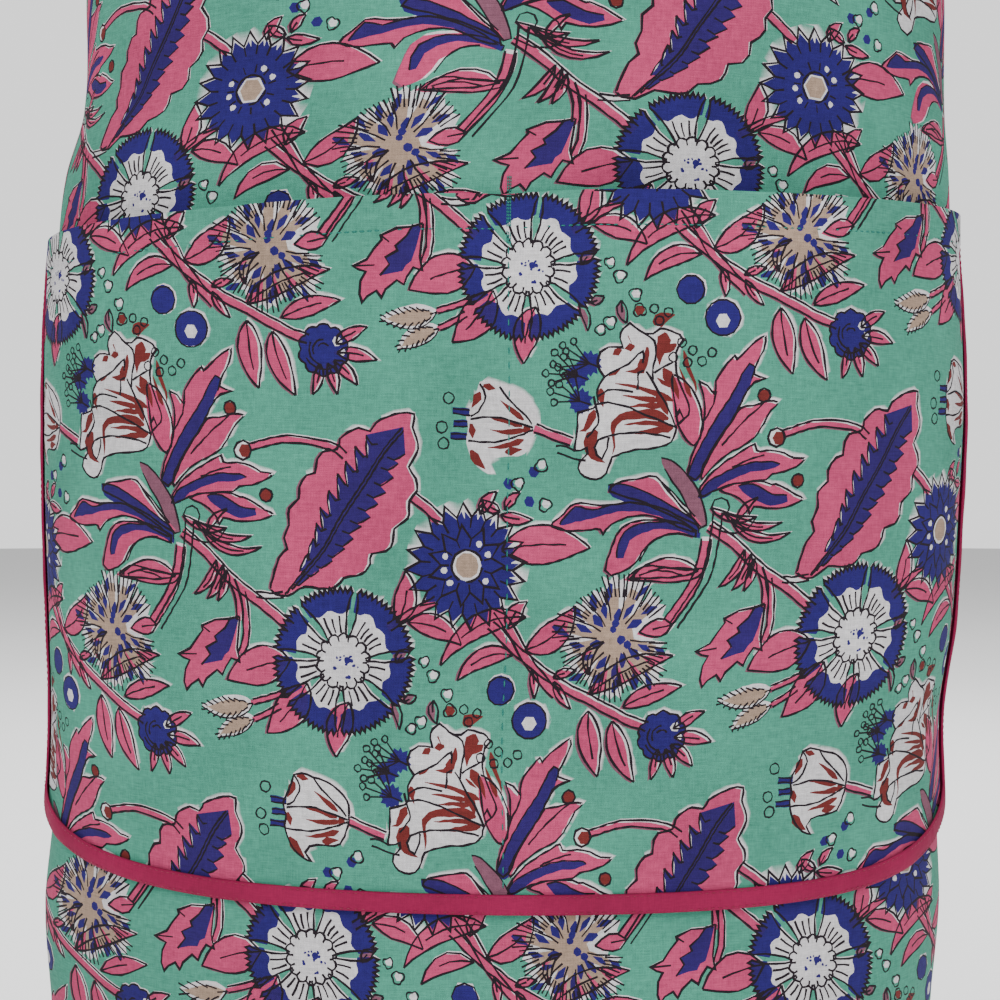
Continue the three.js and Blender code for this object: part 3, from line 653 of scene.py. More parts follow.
def drawCornflower():
    f = cornflower
    count = f["petals"]
    turns = (np.arange(2 * count) + 0.5) * np.pi / count
    tips = np.arange(2 * count) % 2 == 0
    jitter = np.array([dice.uniform(-0.5, 0.5) for _ in turns])
    edge = np.where(tips, f["tip"] + jitter, f["valley"])
    zigzag = spokes(f["at"], edge, turns)
    ink("halo", disc(f["at"], f["tip"] + 1.0, 20), repeat["paperSlip"])
    ink("paper", grow(zigzag, 0.5), repeat["paperSlip"])
    dyed = np.where(tips, f["tip"] - 1.6 + 2.0 * jitter, f["valley"] - 0.5)
    ink("blue", spokes(f["at"], dyed, turns), repeat["blueSlip"])
    if not detail["lines"]:
        return
    for k in range(0, 2 * count, 2):
        drawLine(zigzag[[(k - 1) % (2 * count), k, k + 1]], 1.0)
    for turn in turns[1::2]:
        drawLine(spokes(f["at"], [f["valley"], f["inner"] + 1.5], turn), 0.9)
    inner = 11
    turns = np.arange(2 * inner) * np.pi / inner
    reach = np.where(np.arange(2 * inner) % 2 == 0, f["inner"] + 2.6, f["inner"] - 2.4)
    drawLine(spokes(f["at"], reach, turns), 0.9, True)
    for turn in turns[1::2]:
        drawLine(spokes(f["at"], [f["inner"] - 2.4, f["heart"] + 2.2], turn), 0.8)
        if dice.random() < 0.6:
            ink("white", disc(spokes(f["at"], 9.0, turn + 0.2)[0], 1.25, 7))
    for turn in (np.arange(count) + 0.25) * 2 * np.pi / count:  # worn blue near the tips
        if dice.random() < 0.3 + 0.35 * math.cos(turn - 0.9):
            faded = spokes(f["at"], f["tip"] - np.array((1.4, 3.2, 6.0)), turn + np.array((0, 0.02, 0)))
            ink("white", brush(faded, 1.9))
    ink("white", disc(f["at"], f["heart"] + 0.9))
    ink("beigeTop", disc(f["at"], f["heart"]))
    for arc in (np.linspace(0.3, 4.2, 12), np.linspace(4.7, 6.2, 6)):
        drawLine(spokes(f["at"], f["heart"] + 1.2, arc), 1.1)


fanFlower = {
    "at": (-43.0, -41.2), "reach": 26.2, "rim": 18.6, "ring": 9.2,
    "gaps": (8.0, 80.6, 131.5, 175.6, 216.0, 269.0, 322.0),
}


def drawFanFlower():
    f = fanFlower
    gaps = [math.radians(g) for g in f["gaps"]] + [math.radians(f["gaps"][0] + 360)]
    radii = np.array([8.6, 12.0, 16.0, 20.0, 23.0, f["reach"] - 0.6])
    spread = np.array([0.3, 1.1, 1.75, 1.8, 1.5, 0.9])
    for k in range(7):
        start, stop = gaps[k], gaps[k + 1]
        rise = spread / radii
        one = spokes(f["at"], radii, start + rise)
        two = spokes(f["at"], radii, stop - rise)
        teeth = max(4, int((stop - start) * f["reach"] / 2.1))
        turns = np.linspace(start + rise[-1], stop - rise[-1], 2 * teeth + 1)
        edge = np.where(np.arange(2 * teeth + 1) % 2 == 0, f["reach"] - 1.0, f["reach"] + 0.9)
        rimLine = spokes(f["at"], edge, turns)
        outline = np.concatenate([one, rimLine[1:-1], two[::-1]])
        ink("paper", grow(outline, 0.45), (0.1, 0.35))
        if detail["halo"]:
            outer = spokes(f["at"], edge[::3] + 1.5, turns[::3])
            ink("halo", np.concatenate([one[3:], outer, two[:2:-1]]), (0.2, 0.5))
        wave = f["rim"] + 0.9 * np.cos((turns - start) * 14) - 0.6 * np.sin((turns - start) * 5)
        ink("blue", np.concatenate([rimLine, spokes(f["at"], wave, turns)[::-2]]), (-0.1, -0.15))
        if detail["lines"]:
            for line in (flow(one), flow(two), rimLine):
                drawLine(line)
            count = max(2, int(round((stop - start) / 0.23)) - 1)
            for j in range(count):
                turn = start + (stop - start) * (0.2 + 0.6 * (j + 0.5) / count)
                reach = f["rim"] - 1.2 - 2.0 * dice.random()
                bend = turn + np.array((0, 0.015, 0))
                drawLine(spokes(f["at"], [10.6, (10.6 + reach) / 2, reach], bend), 0.95)
    turns = np.linspace(0, 2 * np.pi, 56, endpoint=False)
    ring = spokes(f["at"], f["ring"] + 1.2 * np.abs(np.sin(7 * turns)), turns)
    ink("paper", grow(ring, 0.3))
    if not detail["lines"]:
        return
    drawLine(ring, 1.0, True)
    for k in range(14):
        turn = (k + 0.02) * np.pi / 7
        drawLine(spokes(f["at"], [f["ring"], f["ring"] - 1.9], turn), 0.9)
    for k in range(15):
        spot = spokes(f["at"], dice.uniform(1.2, 6.6), dice.uniform(0, 6.28))[0]
        ink("blueTop", disc(spot, dice.uniform(0.4, 0.75), 6))
    ink("blueTop", disc(np.array(f["at"]) + (1.6, 0.6), 1.4, 8))


carnation = {"at": (-140.5, -38.4), "calyx": (-119.0, -33.5), "petals": 13, "reach": 22.5}


def drawCarnation():
    f = carnation
    centre = np.array(f["at"])
    away = math.atan2(f["calyx"][1] - f["at"][1], f["calyx"][0] - f["at"][0])
    count = f["petals"]
    outline, strokes, blots, sand = [], [], [], []
    for k in range(count):
        wide = (2 * np.pi - 0.6) / count
        mid = away + 0.3 + (k + 0.5) * wide
        reach = f["reach"] * (0.84 + 0.2 * dice.random())
        for j in range(5):
            turn = mid + wide * (j / 4 - 0.5) * 0.86
            outline.append(spokes(centre, reach * (1.0 if j % 2 == 0 else 0.9), turn)[0])
            bend = turn + np.array((-0.03, 0, 0.02))
            strokes.append(spokes(centre, reach * np.array((0.66, 0.85, 1.03)), bend))
        notch = mid + wide / 2
        outline.append(spokes(centre, reach * 0.7, notch)[0])
        strokes.append(spokes(centre, reach * np.array((0.78, 0.5, 0.3)), notch + np.array((0, -0.05, 0))))
        sand.append(ribbon(spokes(centre, [1.0, reach * 0.45, reach * 0.8], mid + np.array((0, 0.03, 0))), 3.9))
        for spot in (dice.uniform(0.72, 0.95), dice.uniform(0.35, 0.6)):
            lean = dice.uniform(-0.14, 0.14)
            bend = mid + lean + np.array((-0.06, 0, 0.06))
            line = spokes(centre, reach * (spot + np.array((0.13, 0, -0.16))), bend)
            blots.append(brush(line, dice.uniform(2.6, 4.6)))
    outline = np.array(outline)
    leaveWhite(outline, 0.5)
    for one in sand:
        ink("beige", one)
    ink("beige", disc(centre, 7.0))
    for one in blots:
        ink("blue", one)
    for k in range(5):
        spot = spokes(centre, dice.uniform(2, 8), dice.uniform(0, 6.28))[0]
        ink("blue", disc(spot, dice.uniform(1.1, 2.1), 7))
    for one in strokes:
        drawLine(one, 0.8)
    drawLeaf("pink", *f["calyx"], *(centre + (np.array(f["calyx"]) - centre) * 0.42), 6.5, 0.0)
    drawLeaf("small", f["at"][0] - 9, f["at"][1] - 13, f["at"][0] - 4, f["at"][1] - 1, 3.6, 0.25)


# The big leaf: a lobed pink blade with a blue feather down its middle.
bigLeaf = {"leftLobes": 10, "rightSpikes": 13, "leftReach": 10.0, "rightReach": 8.6}


def drawBigLeaf():
    outline = flow(chart["bigLeaf"], True)
    leaveWhite(outline, 1.0)
    ink("pink", outline, (-0.85, -0.15))
    drawLine(outline, 1.1, True)
    spine = flow(chart["bigSpine"], False, 0.8)
    side = sideways(spine)
    length = len(spine) - 1

    def along(t):
        i = int(np.clip(t, 0, 1) * length)
        return spine[i], side[i], np.gradient(spine, axis=0)[i] / 0.8

    left, right, white, strokes = [], [], [], []
    lobes = bigLeaf["leftLobes"] if detail["lines"] else 5
    for k in range(lobes):
        t = 0.06 + 0.8 * k / lobes
        swell = math.sin(math.pi * min(1, 0.16 + 0.84 * (1 - k / lobes) ** 0.8)) ** 0.7 * bigLeaf["leftReach"]
        root, out, ahead = along(t)
        tip, tipOut, tipAhead = along(t + 0.05)
        low = root + out * swell * 0.42
        top = tip + tipOut * swell + tipAhead * 3.4
        middle = low + (top - low) * 0.5
        left += [low, low + (top - low) * 0.55 + out * 0.7, top]
        start = low + out * 0.1 + ahead * 0.6
        white.append([start, middle + out * 0.9, top - ahead * 0.8, middle - out * 0.35])
        strokes.append([top, middle + out * 0.5, low])
        beyond = along(t + 0.09)[0] + out * swell * 0.4
        strokes.append([top, tip + tipOut * swell * 0.55 + tipAhead * 1.6, beyond])
    spikes = bigLeaf["rightSpikes"] if detail["lines"] else 5
    for k in range(spikes):
        t = 0.02 + 0.9 * k / spikes
        swell = math.sin(math.pi * min(1, 0.22 + 0.78 * (1 - k / spikes))) ** 0.8 * bigLeaf["rightReach"]
        swell *= 0.92 + 0.16 * dice.random()
        root, out, ahead = along(t)
        tip, tipOut, tipAhead = along(t + 0.04)
        point = tip - tipOut * swell + tipAhead * 1.8
        right += [root - out * swell * 0.66, point]
        strokes.append([point, root - out * swell * 0.7 + ahead * 0.2, root - out * swell * 0.35 - ahead * 0.4])
    feather = np.concatenate([spine[:1], np.array(left), spine[-1:], np.array(right)[::-1]])
    ink("blue", feather, (0.1, 0))
    if detail["lines"]:
        for one in white[1:]:
            ink("white", one)
        for one in strokes:
            drawLine(flow(one), 0.85)
        jump = max(1, int(detail["step"] / 0.8))
        drawLine((spine + side * 0.4)[::jump], 0.85)
        drawLine(spine[4::2] - side[4::2] * 0.7, 0.85)


def drawSerrated():
    outline = np.array(chart["serrated"])
    leaveWhite(outline, 0.8)
    ink("pink", outline, (-0.5, -0.4))
    ink("blue", np.array(chart["heart"]), (0.1, 0))
    drawLine(outline, 1.0, True)
    drawLine(np.array(chart["heart"])[:7], 0.9)
    for at, to in ((3, 2), (7, 5)):
        start = np.array(chart["serrated"][at])
        drawLine(np.array([start, start + (np.array(chart["heart"][to]) - start) * 0.6]), 0.8)


# The lily below the parrot tulip: pink petals with blue hearts.
def drawLily():
    for points in chart["petalMauve"]:
        ink("pink", flow(points, True))
        drawLine(flow(points), 0.8)
    outlines = [flow(points, True) for points in chart["petals"]]
    for outline in outlines:
        leaveWhite(outline, 1.0)
    for outline in outlines:
        ink("pink", outline, repeat["pinkSlip"])
        drawLine(outline, 0.95, True)
    for points in chart["petalBlue"]:
        heart = flow(points, True)
        ink("blue", heart, repeat["blueSlip"])
        drawLine(heart[: int(len(heart) * 0.55)], 0.75)
    for points in chart["petalLines"]:
        drawLine(flow(points), 0.85)


def drawParrot():
    outline = flow(chart["parrot"], True)
    leaveWhite(outline, 1.0)
    for width, points in chart["parrotStreaks"]:
        ink("brown", brush(flow(points), width * 1.9))
    drawLine(outline, 1.0, True)
    for points in chart["parrotLines"]:
        drawLine(flow(points), 0.95)
    for k, spot in enumerate(chart["parrotBlue"]):
        spot = np.array(spot)
        turns = np.linspace(0, 2 * np.pi, 22, endpoint=False)
        ink("blue", spokes(spot, 3.6 + 1.3 * np.abs(np.sin(turns * 5.5)), turns))
        for j in range(5):
            reach = 8.5 + (j % 2) * 2
            end, bead = spokes(spot, [reach, reach + 1.3], 2.2 + 0.35 * j - 0.2 * k)
            drawLine(np.array([spot + (4.0, -1.5), spot, end]), 0.8)
            drawRing(bead, 1.3, 0.75)


def drawBell():
    outline = flow(chart["bell"], True)
    leaveWhite(outline, 1.25)
    for width, points in chart["bellStreaks"]:
        ink("brown", brush(flow(points), width * 1.7))
    drawLine(outline, 1.0, True)
    for points in chart["bellLines"]:
        drawLine(flow(points), 0.95)
    for one in chart["bellBlue"]:
        ink("blue", ribbon(flow(one), 2.6, -0.1))
        for rise in (0.9, -0.9):
            drawLine(flow(one[:2]) + (0, rise), 0.8)


# One whole repeat of the print at a level of detail.
def drawRepeat(level):
    detail.update(level)
    shapes.clear()
    dice.seed(7)
    for kind, width, points in chart["stems"]:
        drawStem(kind, width, points)
    for row in chart["leaves"]:
        if row[0] in ("small", "mauve") and not detail["small"]:
            continue
        drawLeaf(*row)
    for draw in (
        drawCornflower, drawFanFlower, drawCarnation, drawBigLeaf,
        drawSerrated, drawLily, drawParrot, drawBell,
    ):
        draw()
    for kind, x, y, radius in chart["balls"]:
        if kind == "cluster":
            drawCluster(x, y, radius)
        elif detail["small"] or radius > 3:
            drawBall(kind, x, y, radius)
    return list(shapes)


inkOrder = ["ground", "halo", "paper", "pink", "beige", "brown", "blue", "white", "beigeTop", "blueTop", "line"]
inkBit = {name: 1 << i for i, name in enumerate(inkOrder)}


# Each ink from the topmost down, with the colour that it shows.
inkShown = {
    "line": "line", "blueTop": "blue", "beigeTop": "beige", "white": "paper", "blue": "blue",
    "brown": "brown", "beige": "beige", "pink": "mauve", "paper": "paper", "ground": "ground",
}


# A stack of inks shows its topmost, but blue on pink is plum, and pink is clear only on white.
def stackedColour(mask):
    top = next(name for name in inkShown if mask & inkBit[name])
    if top == "blue" and mask & inkBit["pink"]:
        return inks["plum"]
    if top == "pink" and mask & inkBit["paper"]:
        return inks["pink"]
    return inks[inkShown[top]]


# How the cloth has been eased out of square: scale and cube across, then tilt, bow and shift along.
easing = {
    "pocket": (0.09, -11.5, 1.33, -9.6, 0.0),
    "top": (-0.101, 13.1, 3.88, 8.29, 0.0),
    "low": (0.088, -25.1, 14.03, 2.24, 11.26),
}


def easedBy(where, flat):
    s = np.clip(flat[:, 0] / 200, -1.1, 1.1)
    if where == "pocket":
        a, b, c, d, e = (np.full(len(flat), v) for v in easing["pocket"])
    else:
        low = smooth((-440 - flat[:, 1]) / 220)
        a, b, c, d, e = (t * (1 - low) + w * low for t, w in zip(easing["top"], easing["low"]))
    return np.stack([a * 200 * s + b * s ** 3, c * s + d * s * s + e], 1)


# The stamps that touch an outline, moved to their places on the flat cloth.
def stampCloth(where, level, outline):
    one = drawRepeat(level)
    start = np.array(repeat["pocketStart"] if where == "pocket" else repeat["panelStart"])
    across, up = np.array(repeat["across"]), np.array(repeat["up"])
    low, high = outline.min(0) - 3, outline.max(0) + 3
    sizes = [len(shape) for _, shape in one]
    allPoints = np.concatenate([shape for _, shape in one])
    slips = random.Random(21)
    kinds, placed = [], []
    for j in range(-4, 5):
        for i in range(-5, 6):
            shift = start + across * i + up * j
            if (shift + (120, 130) < low).any() or (shift - (190, 160) > high).any():
                continue
            pinkSlip = np.array((slips.uniform(-0.25, 0.25), slips.uniform(-0.25, 0.25)))
            blueSlip = np.array((slips.uniform(-0.2, 0.2), slips.uniform(-0.2, 0.2)))
            target = allPoints + shift
            flat = target.copy()
            for _ in range(6):
                flat = target - easedBy(where, flat)
            x, y = flat.T  # the wooden blocks leave edges that are never quite even
            uneven = np.stack([np.sin(1.9 * x + 0.8 * y), np.sin(1.4 * y - 2.2 * x)], 1)
            flat = flat + repeat["unevenness"] * uneven
            at = 0
            for (kind, _), size in zip(one, sizes):
                shape = flat[at:at + size]
                at += size
                if (shape.max(0) < low + 3).any() or (shape.min(0) > high - 3).any():
                    continue
                if kind == "pink":
                    shape = shape + pinkSlip
                elif kind == "blue":
                    shape = shape + blueSlip
                kinds.append(kind)
                placed.append(shape)
    return kinds, placed


# Which points a closed outline winds round.
def windsRound(outline, points):
    turns = np.zeros(len(points), int)
    for one, two in zip(outline, np.roll(outline, -1, 0)):
        side = (two[0] - one[0]) * (points[:, 1] - one[1]) - (points[:, 0] - one[0]) * (two[1] - one[1])
        turns += ((one[1] <= points[:, 1]) & (two[1] > points[:, 1]) & (side > 0)).astype(int)
        turns -= ((one[1] > points[:, 1]) & (two[1] <= points[:, 1]) & (side < 0)).astype(int)
    return turns != 0


# Cuts the flat cloth along every stamped edge and gives each face its colour.
def cutLayer(where, level, outline, grid, keep=None):
    kinds, placed = stampCloth(where, level, outline)
    if keep is not None:
        chosen = [k for k, shape in enumerate(placed) if keep(shape, kinds[k])]
        kinds, placed = [kinds[k] for k in chosen], [placed[k] for k in chosen]
    low, high = outline.min(0), outline.max(0)
    faces = [list(range(len(outline)))]
    points = [outline]
    at = len(outline)
    for shape in placed:
        faces.append(list(range(at, at + len(shape))))
        points.append(shape)
        at += len(shape)
    points.append(grid)
    flatPoints = [Vector(point) for point in np.concatenate(points).tolist()]
    verts, _, tris, sources, _, origins = delaunay_2d_cdt(flatPoints, [], faces, 1, 1e-4, True)
    bits = np.array([1] + [inkBit[kind] for kind in kinds])
    verts = np.array([(v[0], v[1]) for v in verts])
    inside = [i for i, origin in enumerate(origins) if 0 in origin]
    kept = np.array([tris[i] for i in inside])
    found = [(row, k) for row, i in enumerate(inside) for k in origins[i]]
    rows, owners = np.array(found).T
    centres = verts[kept].mean(1)
    a, b = verts[kept[:, 1]] - verts[kept[:, 0]], verts[kept[:, 2]] - verts[kept[:, 0]]
    areas = (a[:, 0] * b[:, 1] - a[:, 1] * b[:, 0]) / 2
    filled = np.bincount(owners, areas[rows], len(bits))
    good = np.ones(len(bits), bool)
    extra = []
    for k, shape in enumerate(placed):  # outlines that cross themselves are filled by winding
        full = turnOf(shape) / 2
        whole = (shape.min(0) > low).all() and (shape.max(0) < high).all()
        if filled[k + 1] > full * 1.08 + 0.3 or whole and filled[k + 1] < full * 0.8:
            good[k + 1] = False
            near = np.nonzero(((centres >= shape.min(0)) & (centres <= shape.max(0))).all(1))[0]
            extra.append((near[windsRound(shape, centres[near])], k + 1))
    keepers = good[owners]
    masks = np.zeros(len(kept), int)
    np.bitwise_or.at(masks, rows[keepers], bits[owners[keepers]])
    for hit, k in extra:
        masks[hit] |= bits[k]
    used = np.unique(kept)
    index = np.full(len(verts), -1)
    index[used] = np.arange(len(used))
    kept, verts = index[kept], verts[used]
    edgeAt = np.zeros(len(outline), int)  # where each point of the outline has gone
    for i, source in enumerate(sources):
        for k in source:
            if k < len(outline):
                edgeAt[k] = index[i]
    palette = {mask: stackedColour(mask) for mask in np.unique(masks)}
    colours = np.repeat(np.array([palette[mask] for mask in masks])[:, None, :], 3, 1)
    white = np.zeros(len(verts), bool)
    white[kept[(masks & inkBit["paper"]) > 0].ravel()] = True
    rim = np.isin(masks & ~1, [inkBit["halo"]])
    colours[rim] = np.where(white[kept[rim]][:, :, None], inks["paper"], inks["ground"])
    return verts, kept, colours, edgeAt


# The outer edge of a cut layer, in order round it.
def edgeLoop(tris):
    edges = {}
    for a, b, c in tris.tolist():
        for one, two in ((a, b), (b, c), (c, a)):
            if (two, one) in edges:
                del edges[(two, one)]
            else:
                edges[(one, two)] = True
    after = {one: two for one, two in edges}
    start = next(iter(after))
    loop = [start]
    while after[loop[-1]] != start and len(loop) < len(after):
        loop.append(after[loop[-1]])
    return loop


# A printed cloth: the cut front, a plainer back with the same edge, and the rim between.
def printedCloth(name, where, outline, levels, grids, place, thick, keep=None):
    front, frontTris, frontColours, _ = cutLayer(where, levels[0], outline, grids[0], keep)
    loop = edgeLoop(frontTris)
    shown = (lambda shape, kind: False) if where == "pocket" else None  # nobody sees inside the pocket
    back, backTris, backColours, edgeAt = cutLayer(where, levels[1], front[loop], grids[1], shown)
    pale = 0.6 * np.array(inks["paper"]) + 0.4 * np.array(inks["ground"])
    backColours = backColours * 0.55 + 0.45 * pale
    backLoop = edgeLoop(backTris)
    placeIn = {v: i for i, v in enumerate(backLoop)}
    stops = [placeIn[v] for v in edgeAt]
    shift = len(front)
    rim = []
    for i, a in enumerate(loop):  # each front edge meets the back points beside it
        b = loop[(i + 1) % len(loop)]
        at, stop = stops[i], stops[(i + 1) % len(loop)]
        rim.append((b, a, backLoop[at] + shift))
        while at != stop:
            following = (at + 1) % len(backLoop)
            rim.append((b, backLoop[at] + shift, backLoop[following] + shift))
            at = following
    rimColours = np.tile(np.array(inks["ground"]), (len(rim), 3, 1))
    tris = np.concatenate([frontTris, backTris[:, ::-1] + shift, np.array(rim)])
    colours = np.concatenate([frontColours, backColours[:, ::-1], rimColours])
    flat = np.concatenate([front, back])
    places = np.concatenate([place(front, thick), place(back, 0.0)]) * mm
    mesh = bpy.data.meshes.new(name)
    mesh.from_pydata(places.tolist(), [], tris.tolist())
    uvs = mesh.uv_layers.new(name="flatCloth")
    corners = tris.ravel()
    uvs.data.foreach_set("uv", (flat[corners] * mm).astype(np.float32).ravel())
    attribute = mesh.color_attributes.new("print", "FLOAT_COLOR", "CORNER")
    rgba = np.concatenate([colours.reshape(-1, 3), np.ones((len(corners), 1))], 1)
    attribute.data.foreach_set("color", rgba.astype(np.float32).ravel())
    mesh.shade_smooth()
    frontOut = outOf(lambda f: place(f, thick), front)
    backOut = -outOf(lambda f: place(f, 0.0), back)
    mesh.normals_split_custom_set_from_vertices(np.concatenate([frontOut, backOut]).tolist())
    print(name + ":", len(frontTris), "front,", len(backTris), "back faces")
    return addPiece(name, mesh, printedCotton)


# Materials. Cloth coordinates are metres on the flat pattern.
vectorKind, floatKind = "NodeSocketVector", "NodeSocketFloat"


def newGroup(name, inputs, outputs):
    group = bpy.data.node_groups.new(name, "ShaderNodeTree")
    for title, kind, value in inputs:
        socket = group.interface.new_socket(title, in_out="INPUT", socket_type=kind)
        if value is not None:
            socket.default_value = value
    for title, kind in outputs:
        group.interface.new_socket(title, in_out="OUTPUT", socket_type=kind)
    return group, group.nodes.new("NodeGroupInput"), group.nodes.new("NodeGroupOutput")


def node(tree, kind, settings=None, links=None):
    made = tree.nodes.new(kind)
    for key, value in (settings or {}).items():
        if key in made.inputs.keys():
            made.inputs[key].default_value = value
        else:
            setattr(made, key, value)
    for key, source in (links or {}).items():
        tree.links.new(source, made.inputs[key])
    return made


def maths(tree, operation, a, b):
    made = tree.nodes.new("ShaderNodeMath")
    made.operation = operation
    for socket, value in zip(made.inputs, (a, b)):
        if isinstance(value, (int, float)):
            socket.default_value = value
        else:
            tree.links.new(value, socket)
    return made.outputs[0]


# Plain weave: threads both ways, with slubs that run along them.
def buildWeave():
    group, start, end = newGroup(
        "plainWeave",
        [("Cloth", vectorKind, None), ("Threads", floatKind, 2100.0), ("Slub", floatKind, 0.5)],
        [("Height", floatKind), ("Shade", floatKind)],
    )
    split = node(group, "ShaderNodeSeparateXYZ", links={0: start.outputs["Cloth"]})
    ways = []
    for axis in (0, 1):
        turned = maths(group, "MULTIPLY", split.outputs[axis], start.outputs["Threads"])
        ways.append(maths(group, "SINE", maths(group, "MULTIPLY", turned, math.pi), 0.0))
    crossed = maths(group, "MULTIPLY", ways[0], ways[1])
    slubs = []
    for stretch in ((140, 2600, 1), (2600, 170, 1)):
        mapped = node(group, "ShaderNodeMapping", {"Scale": stretch}, {"Vector": start.outputs["Cloth"]})
        noise = node(group, "ShaderNodeTexNoise", {"Scale": 1.0, "Detail": 2.0}, {"Vector": mapped.outputs[0]})
        slubs.append(noise.outputs[0])
    weighed = [maths(group, "MULTIPLY", slub, share) for slub, share in zip(slubs, (0.58, 0.42))]
    slub = maths(group, "ADD", *weighed)
    slub = maths(group, "MULTIPLY", maths(group, "SUBTRACT", slub, 0.5), start.outputs["Slub"])
    height = maths(group, "ADD", maths(group, "MULTIPLY", crossed, 0.3), maths(group, "MULTIPLY", slub, 2.0))
    group.links.new(height, end.inputs["Height"])
    group.links.new(maths(group, "ADD", maths(group, "MULTIPLY", slub, 1.6), 1.0), end.inputs["Shade"])
    return group


# Hand dyeing: broad uneven washes and small specks.
def buildDye():
    group, start, end = newGroup(
        "unevenDye",
        [("Cloth", vectorKind, None), ("Wash", floatKind, 0.2), ("Speck", floatKind, 0.1)],
        [("Shade", floatKind), ("Mask", floatKind)],
    )
    cloth = {"Vector": start.outputs["Cloth"]}
    wash = node(group, "ShaderNodeTexNoise", {"Scale": 16.0, "Detail": 4.0, "Roughness": 0.6}, cloth)
    speck = node(group, "ShaderNodeTexNoise", {"Scale": 420.0, "Detail": 3.0}, cloth)
    broad = maths(group, "MULTIPLY", maths(group, "SUBTRACT", wash.outputs[0], 0.5), start.outputs["Wash"])
    fine = maths(group, "MULTIPLY", maths(group, "SUBTRACT", speck.outputs[0], 0.5), start.outputs["Speck"])
    group.links.new(maths(group, "ADD", maths(group, "ADD", broad, fine), 1.0), end.inputs["Shade"])
    group.links.new(wash.outputs[0], end.inputs["Mask"])
    return group


# Soft rumples of worn cotton.
def buildRumple():
    group, start, end = newGroup(
        "softRumple",
        [("Cloth", vectorKind, None), ("Scale", floatKind, 14.0)],
        [("Height", floatKind)],
    )
    turned = {"Scale": (1.0, 0.55, 1.0), "Rotation": (0, 0, 0.2)}
    mapped = node(group, "ShaderNodeMapping", turned, {"Vector": start.outputs["Cloth"]})
    noise = node(
        group, "ShaderNodeTexNoise", {"Detail": 3.0, "Roughness": 0.5, "Distortion": 0.6},
        {"Vector": mapped.outputs[0], "Scale": start.outputs["Scale"]},
    )
    group.links.new(noise.outputs[0], end.inputs["Height"])
    return group


weaveGroup, dyeGroup, rumpleGroup = buildWeave(), buildDye(), buildRumple()


def placeGroup(tree, group, values, cloth):
    return node(tree, "ShaderNodeGroup", {"node_tree": group, **values}, {"Cloth": cloth})


cottonLook = {
    "printed": {
        "threads": 2100.0, "slub": 0.8, "wash": 0.75, "speck": 0.5, "rumple": 13.0, "rumpleDepth": 0.004,
        "roughness": 0.86,
    },
    "pink": {
        "threads": 2300.0, "slub": 0.5, "wash": 0.3, "speck": 0.25, "rumple": 70.0, "rumpleDepth": 0.001,
        "roughness": 0.78,
    },
}
pinkShades = {"deep": (0.15, 0.0012, 0.026), "bright": (0.27, 0.004, 0.056)}


def newMaterial(name):
    material = bpy.data.materials.new(name)
    material.use_nodes = True
    material.node_tree.nodes.clear()
    return material, material.node_tree


def cottonMaterial(name, look, uvName, baseOf):
    material, tree = newMaterial(name)
    cloth = node(tree, "ShaderNodeUVMap", {"uv_map": uvName}).outputs[0]
    weave = placeGroup(tree, weaveGroup, {"Threads": look["threads"], "Slub": look["slub"]}, cloth)
    dye = placeGroup(tree, dyeGroup, {"Wash": look["wash"], "Speck": look["speck"]}, cloth)
    rumple = placeGroup(tree, rumpleGroup, {"Scale": look["rumple"]}, cloth)
    shade = maths(tree, "MULTIPLY", weave.outputs["Shade"], dye.outputs["Shade"])
    base = baseOf(tree, dye.outputs["Mask"])
    shaded = node(tree, "ShaderNodeVectorMath", {"operation": "SCALE"}, {0: base, "Scale": shade})
    soft = {"Strength": 1.0, "Distance": look["rumpleDepth"]}
    folds = node(tree, "ShaderNodeBump", soft, {"Height": rumple.outputs[0]})
    threads = node(
        tree, "ShaderNodeBump", {"Strength": 0.5, "Distance": 0.0001},
        {"Height": weave.outputs["Height"], "Normal": folds.outputs[0]},
    )
    darker = maths(tree, "MULTIPLY", maths(tree, "SUBTRACT", shade, 1.0), -0.15)
    rough = maths(tree, "ADD", darker, look["roughness"])
    skin = node(
        tree, "ShaderNodeBsdfPrincipled", {"Specular IOR Level": 0.25},
        {"Base Color": shaded.outputs[0], "Roughness": rough, "Normal": threads.outputs[0]},
    )
    node(tree, "ShaderNodeOutputMaterial", links={"Surface": skin.outputs[0]})
    return material


def printBase(tree, mask):
    return node(tree, "ShaderNodeAttribute", {"attribute_name": "print"}).outputs["Color"]


def pinkBase(tree, mask):
    ramp = node(tree, "ShaderNodeMix", {"data_type": "RGBA"}, {0: mask})
    ramp.inputs[6].default_value = (*pinkShades["deep"], 1)
    ramp.inputs[7].default_value = (*pinkShades["bright"], 1)
    return ramp.outputs[2]


printedCotton = cottonMaterial("printedCotton", cottonLook["printed"], "flatCloth", printBase)
pinkCotton = cottonMaterial("pinkCotton", cottonLook["pink"], "bandCloth", pinkBase)


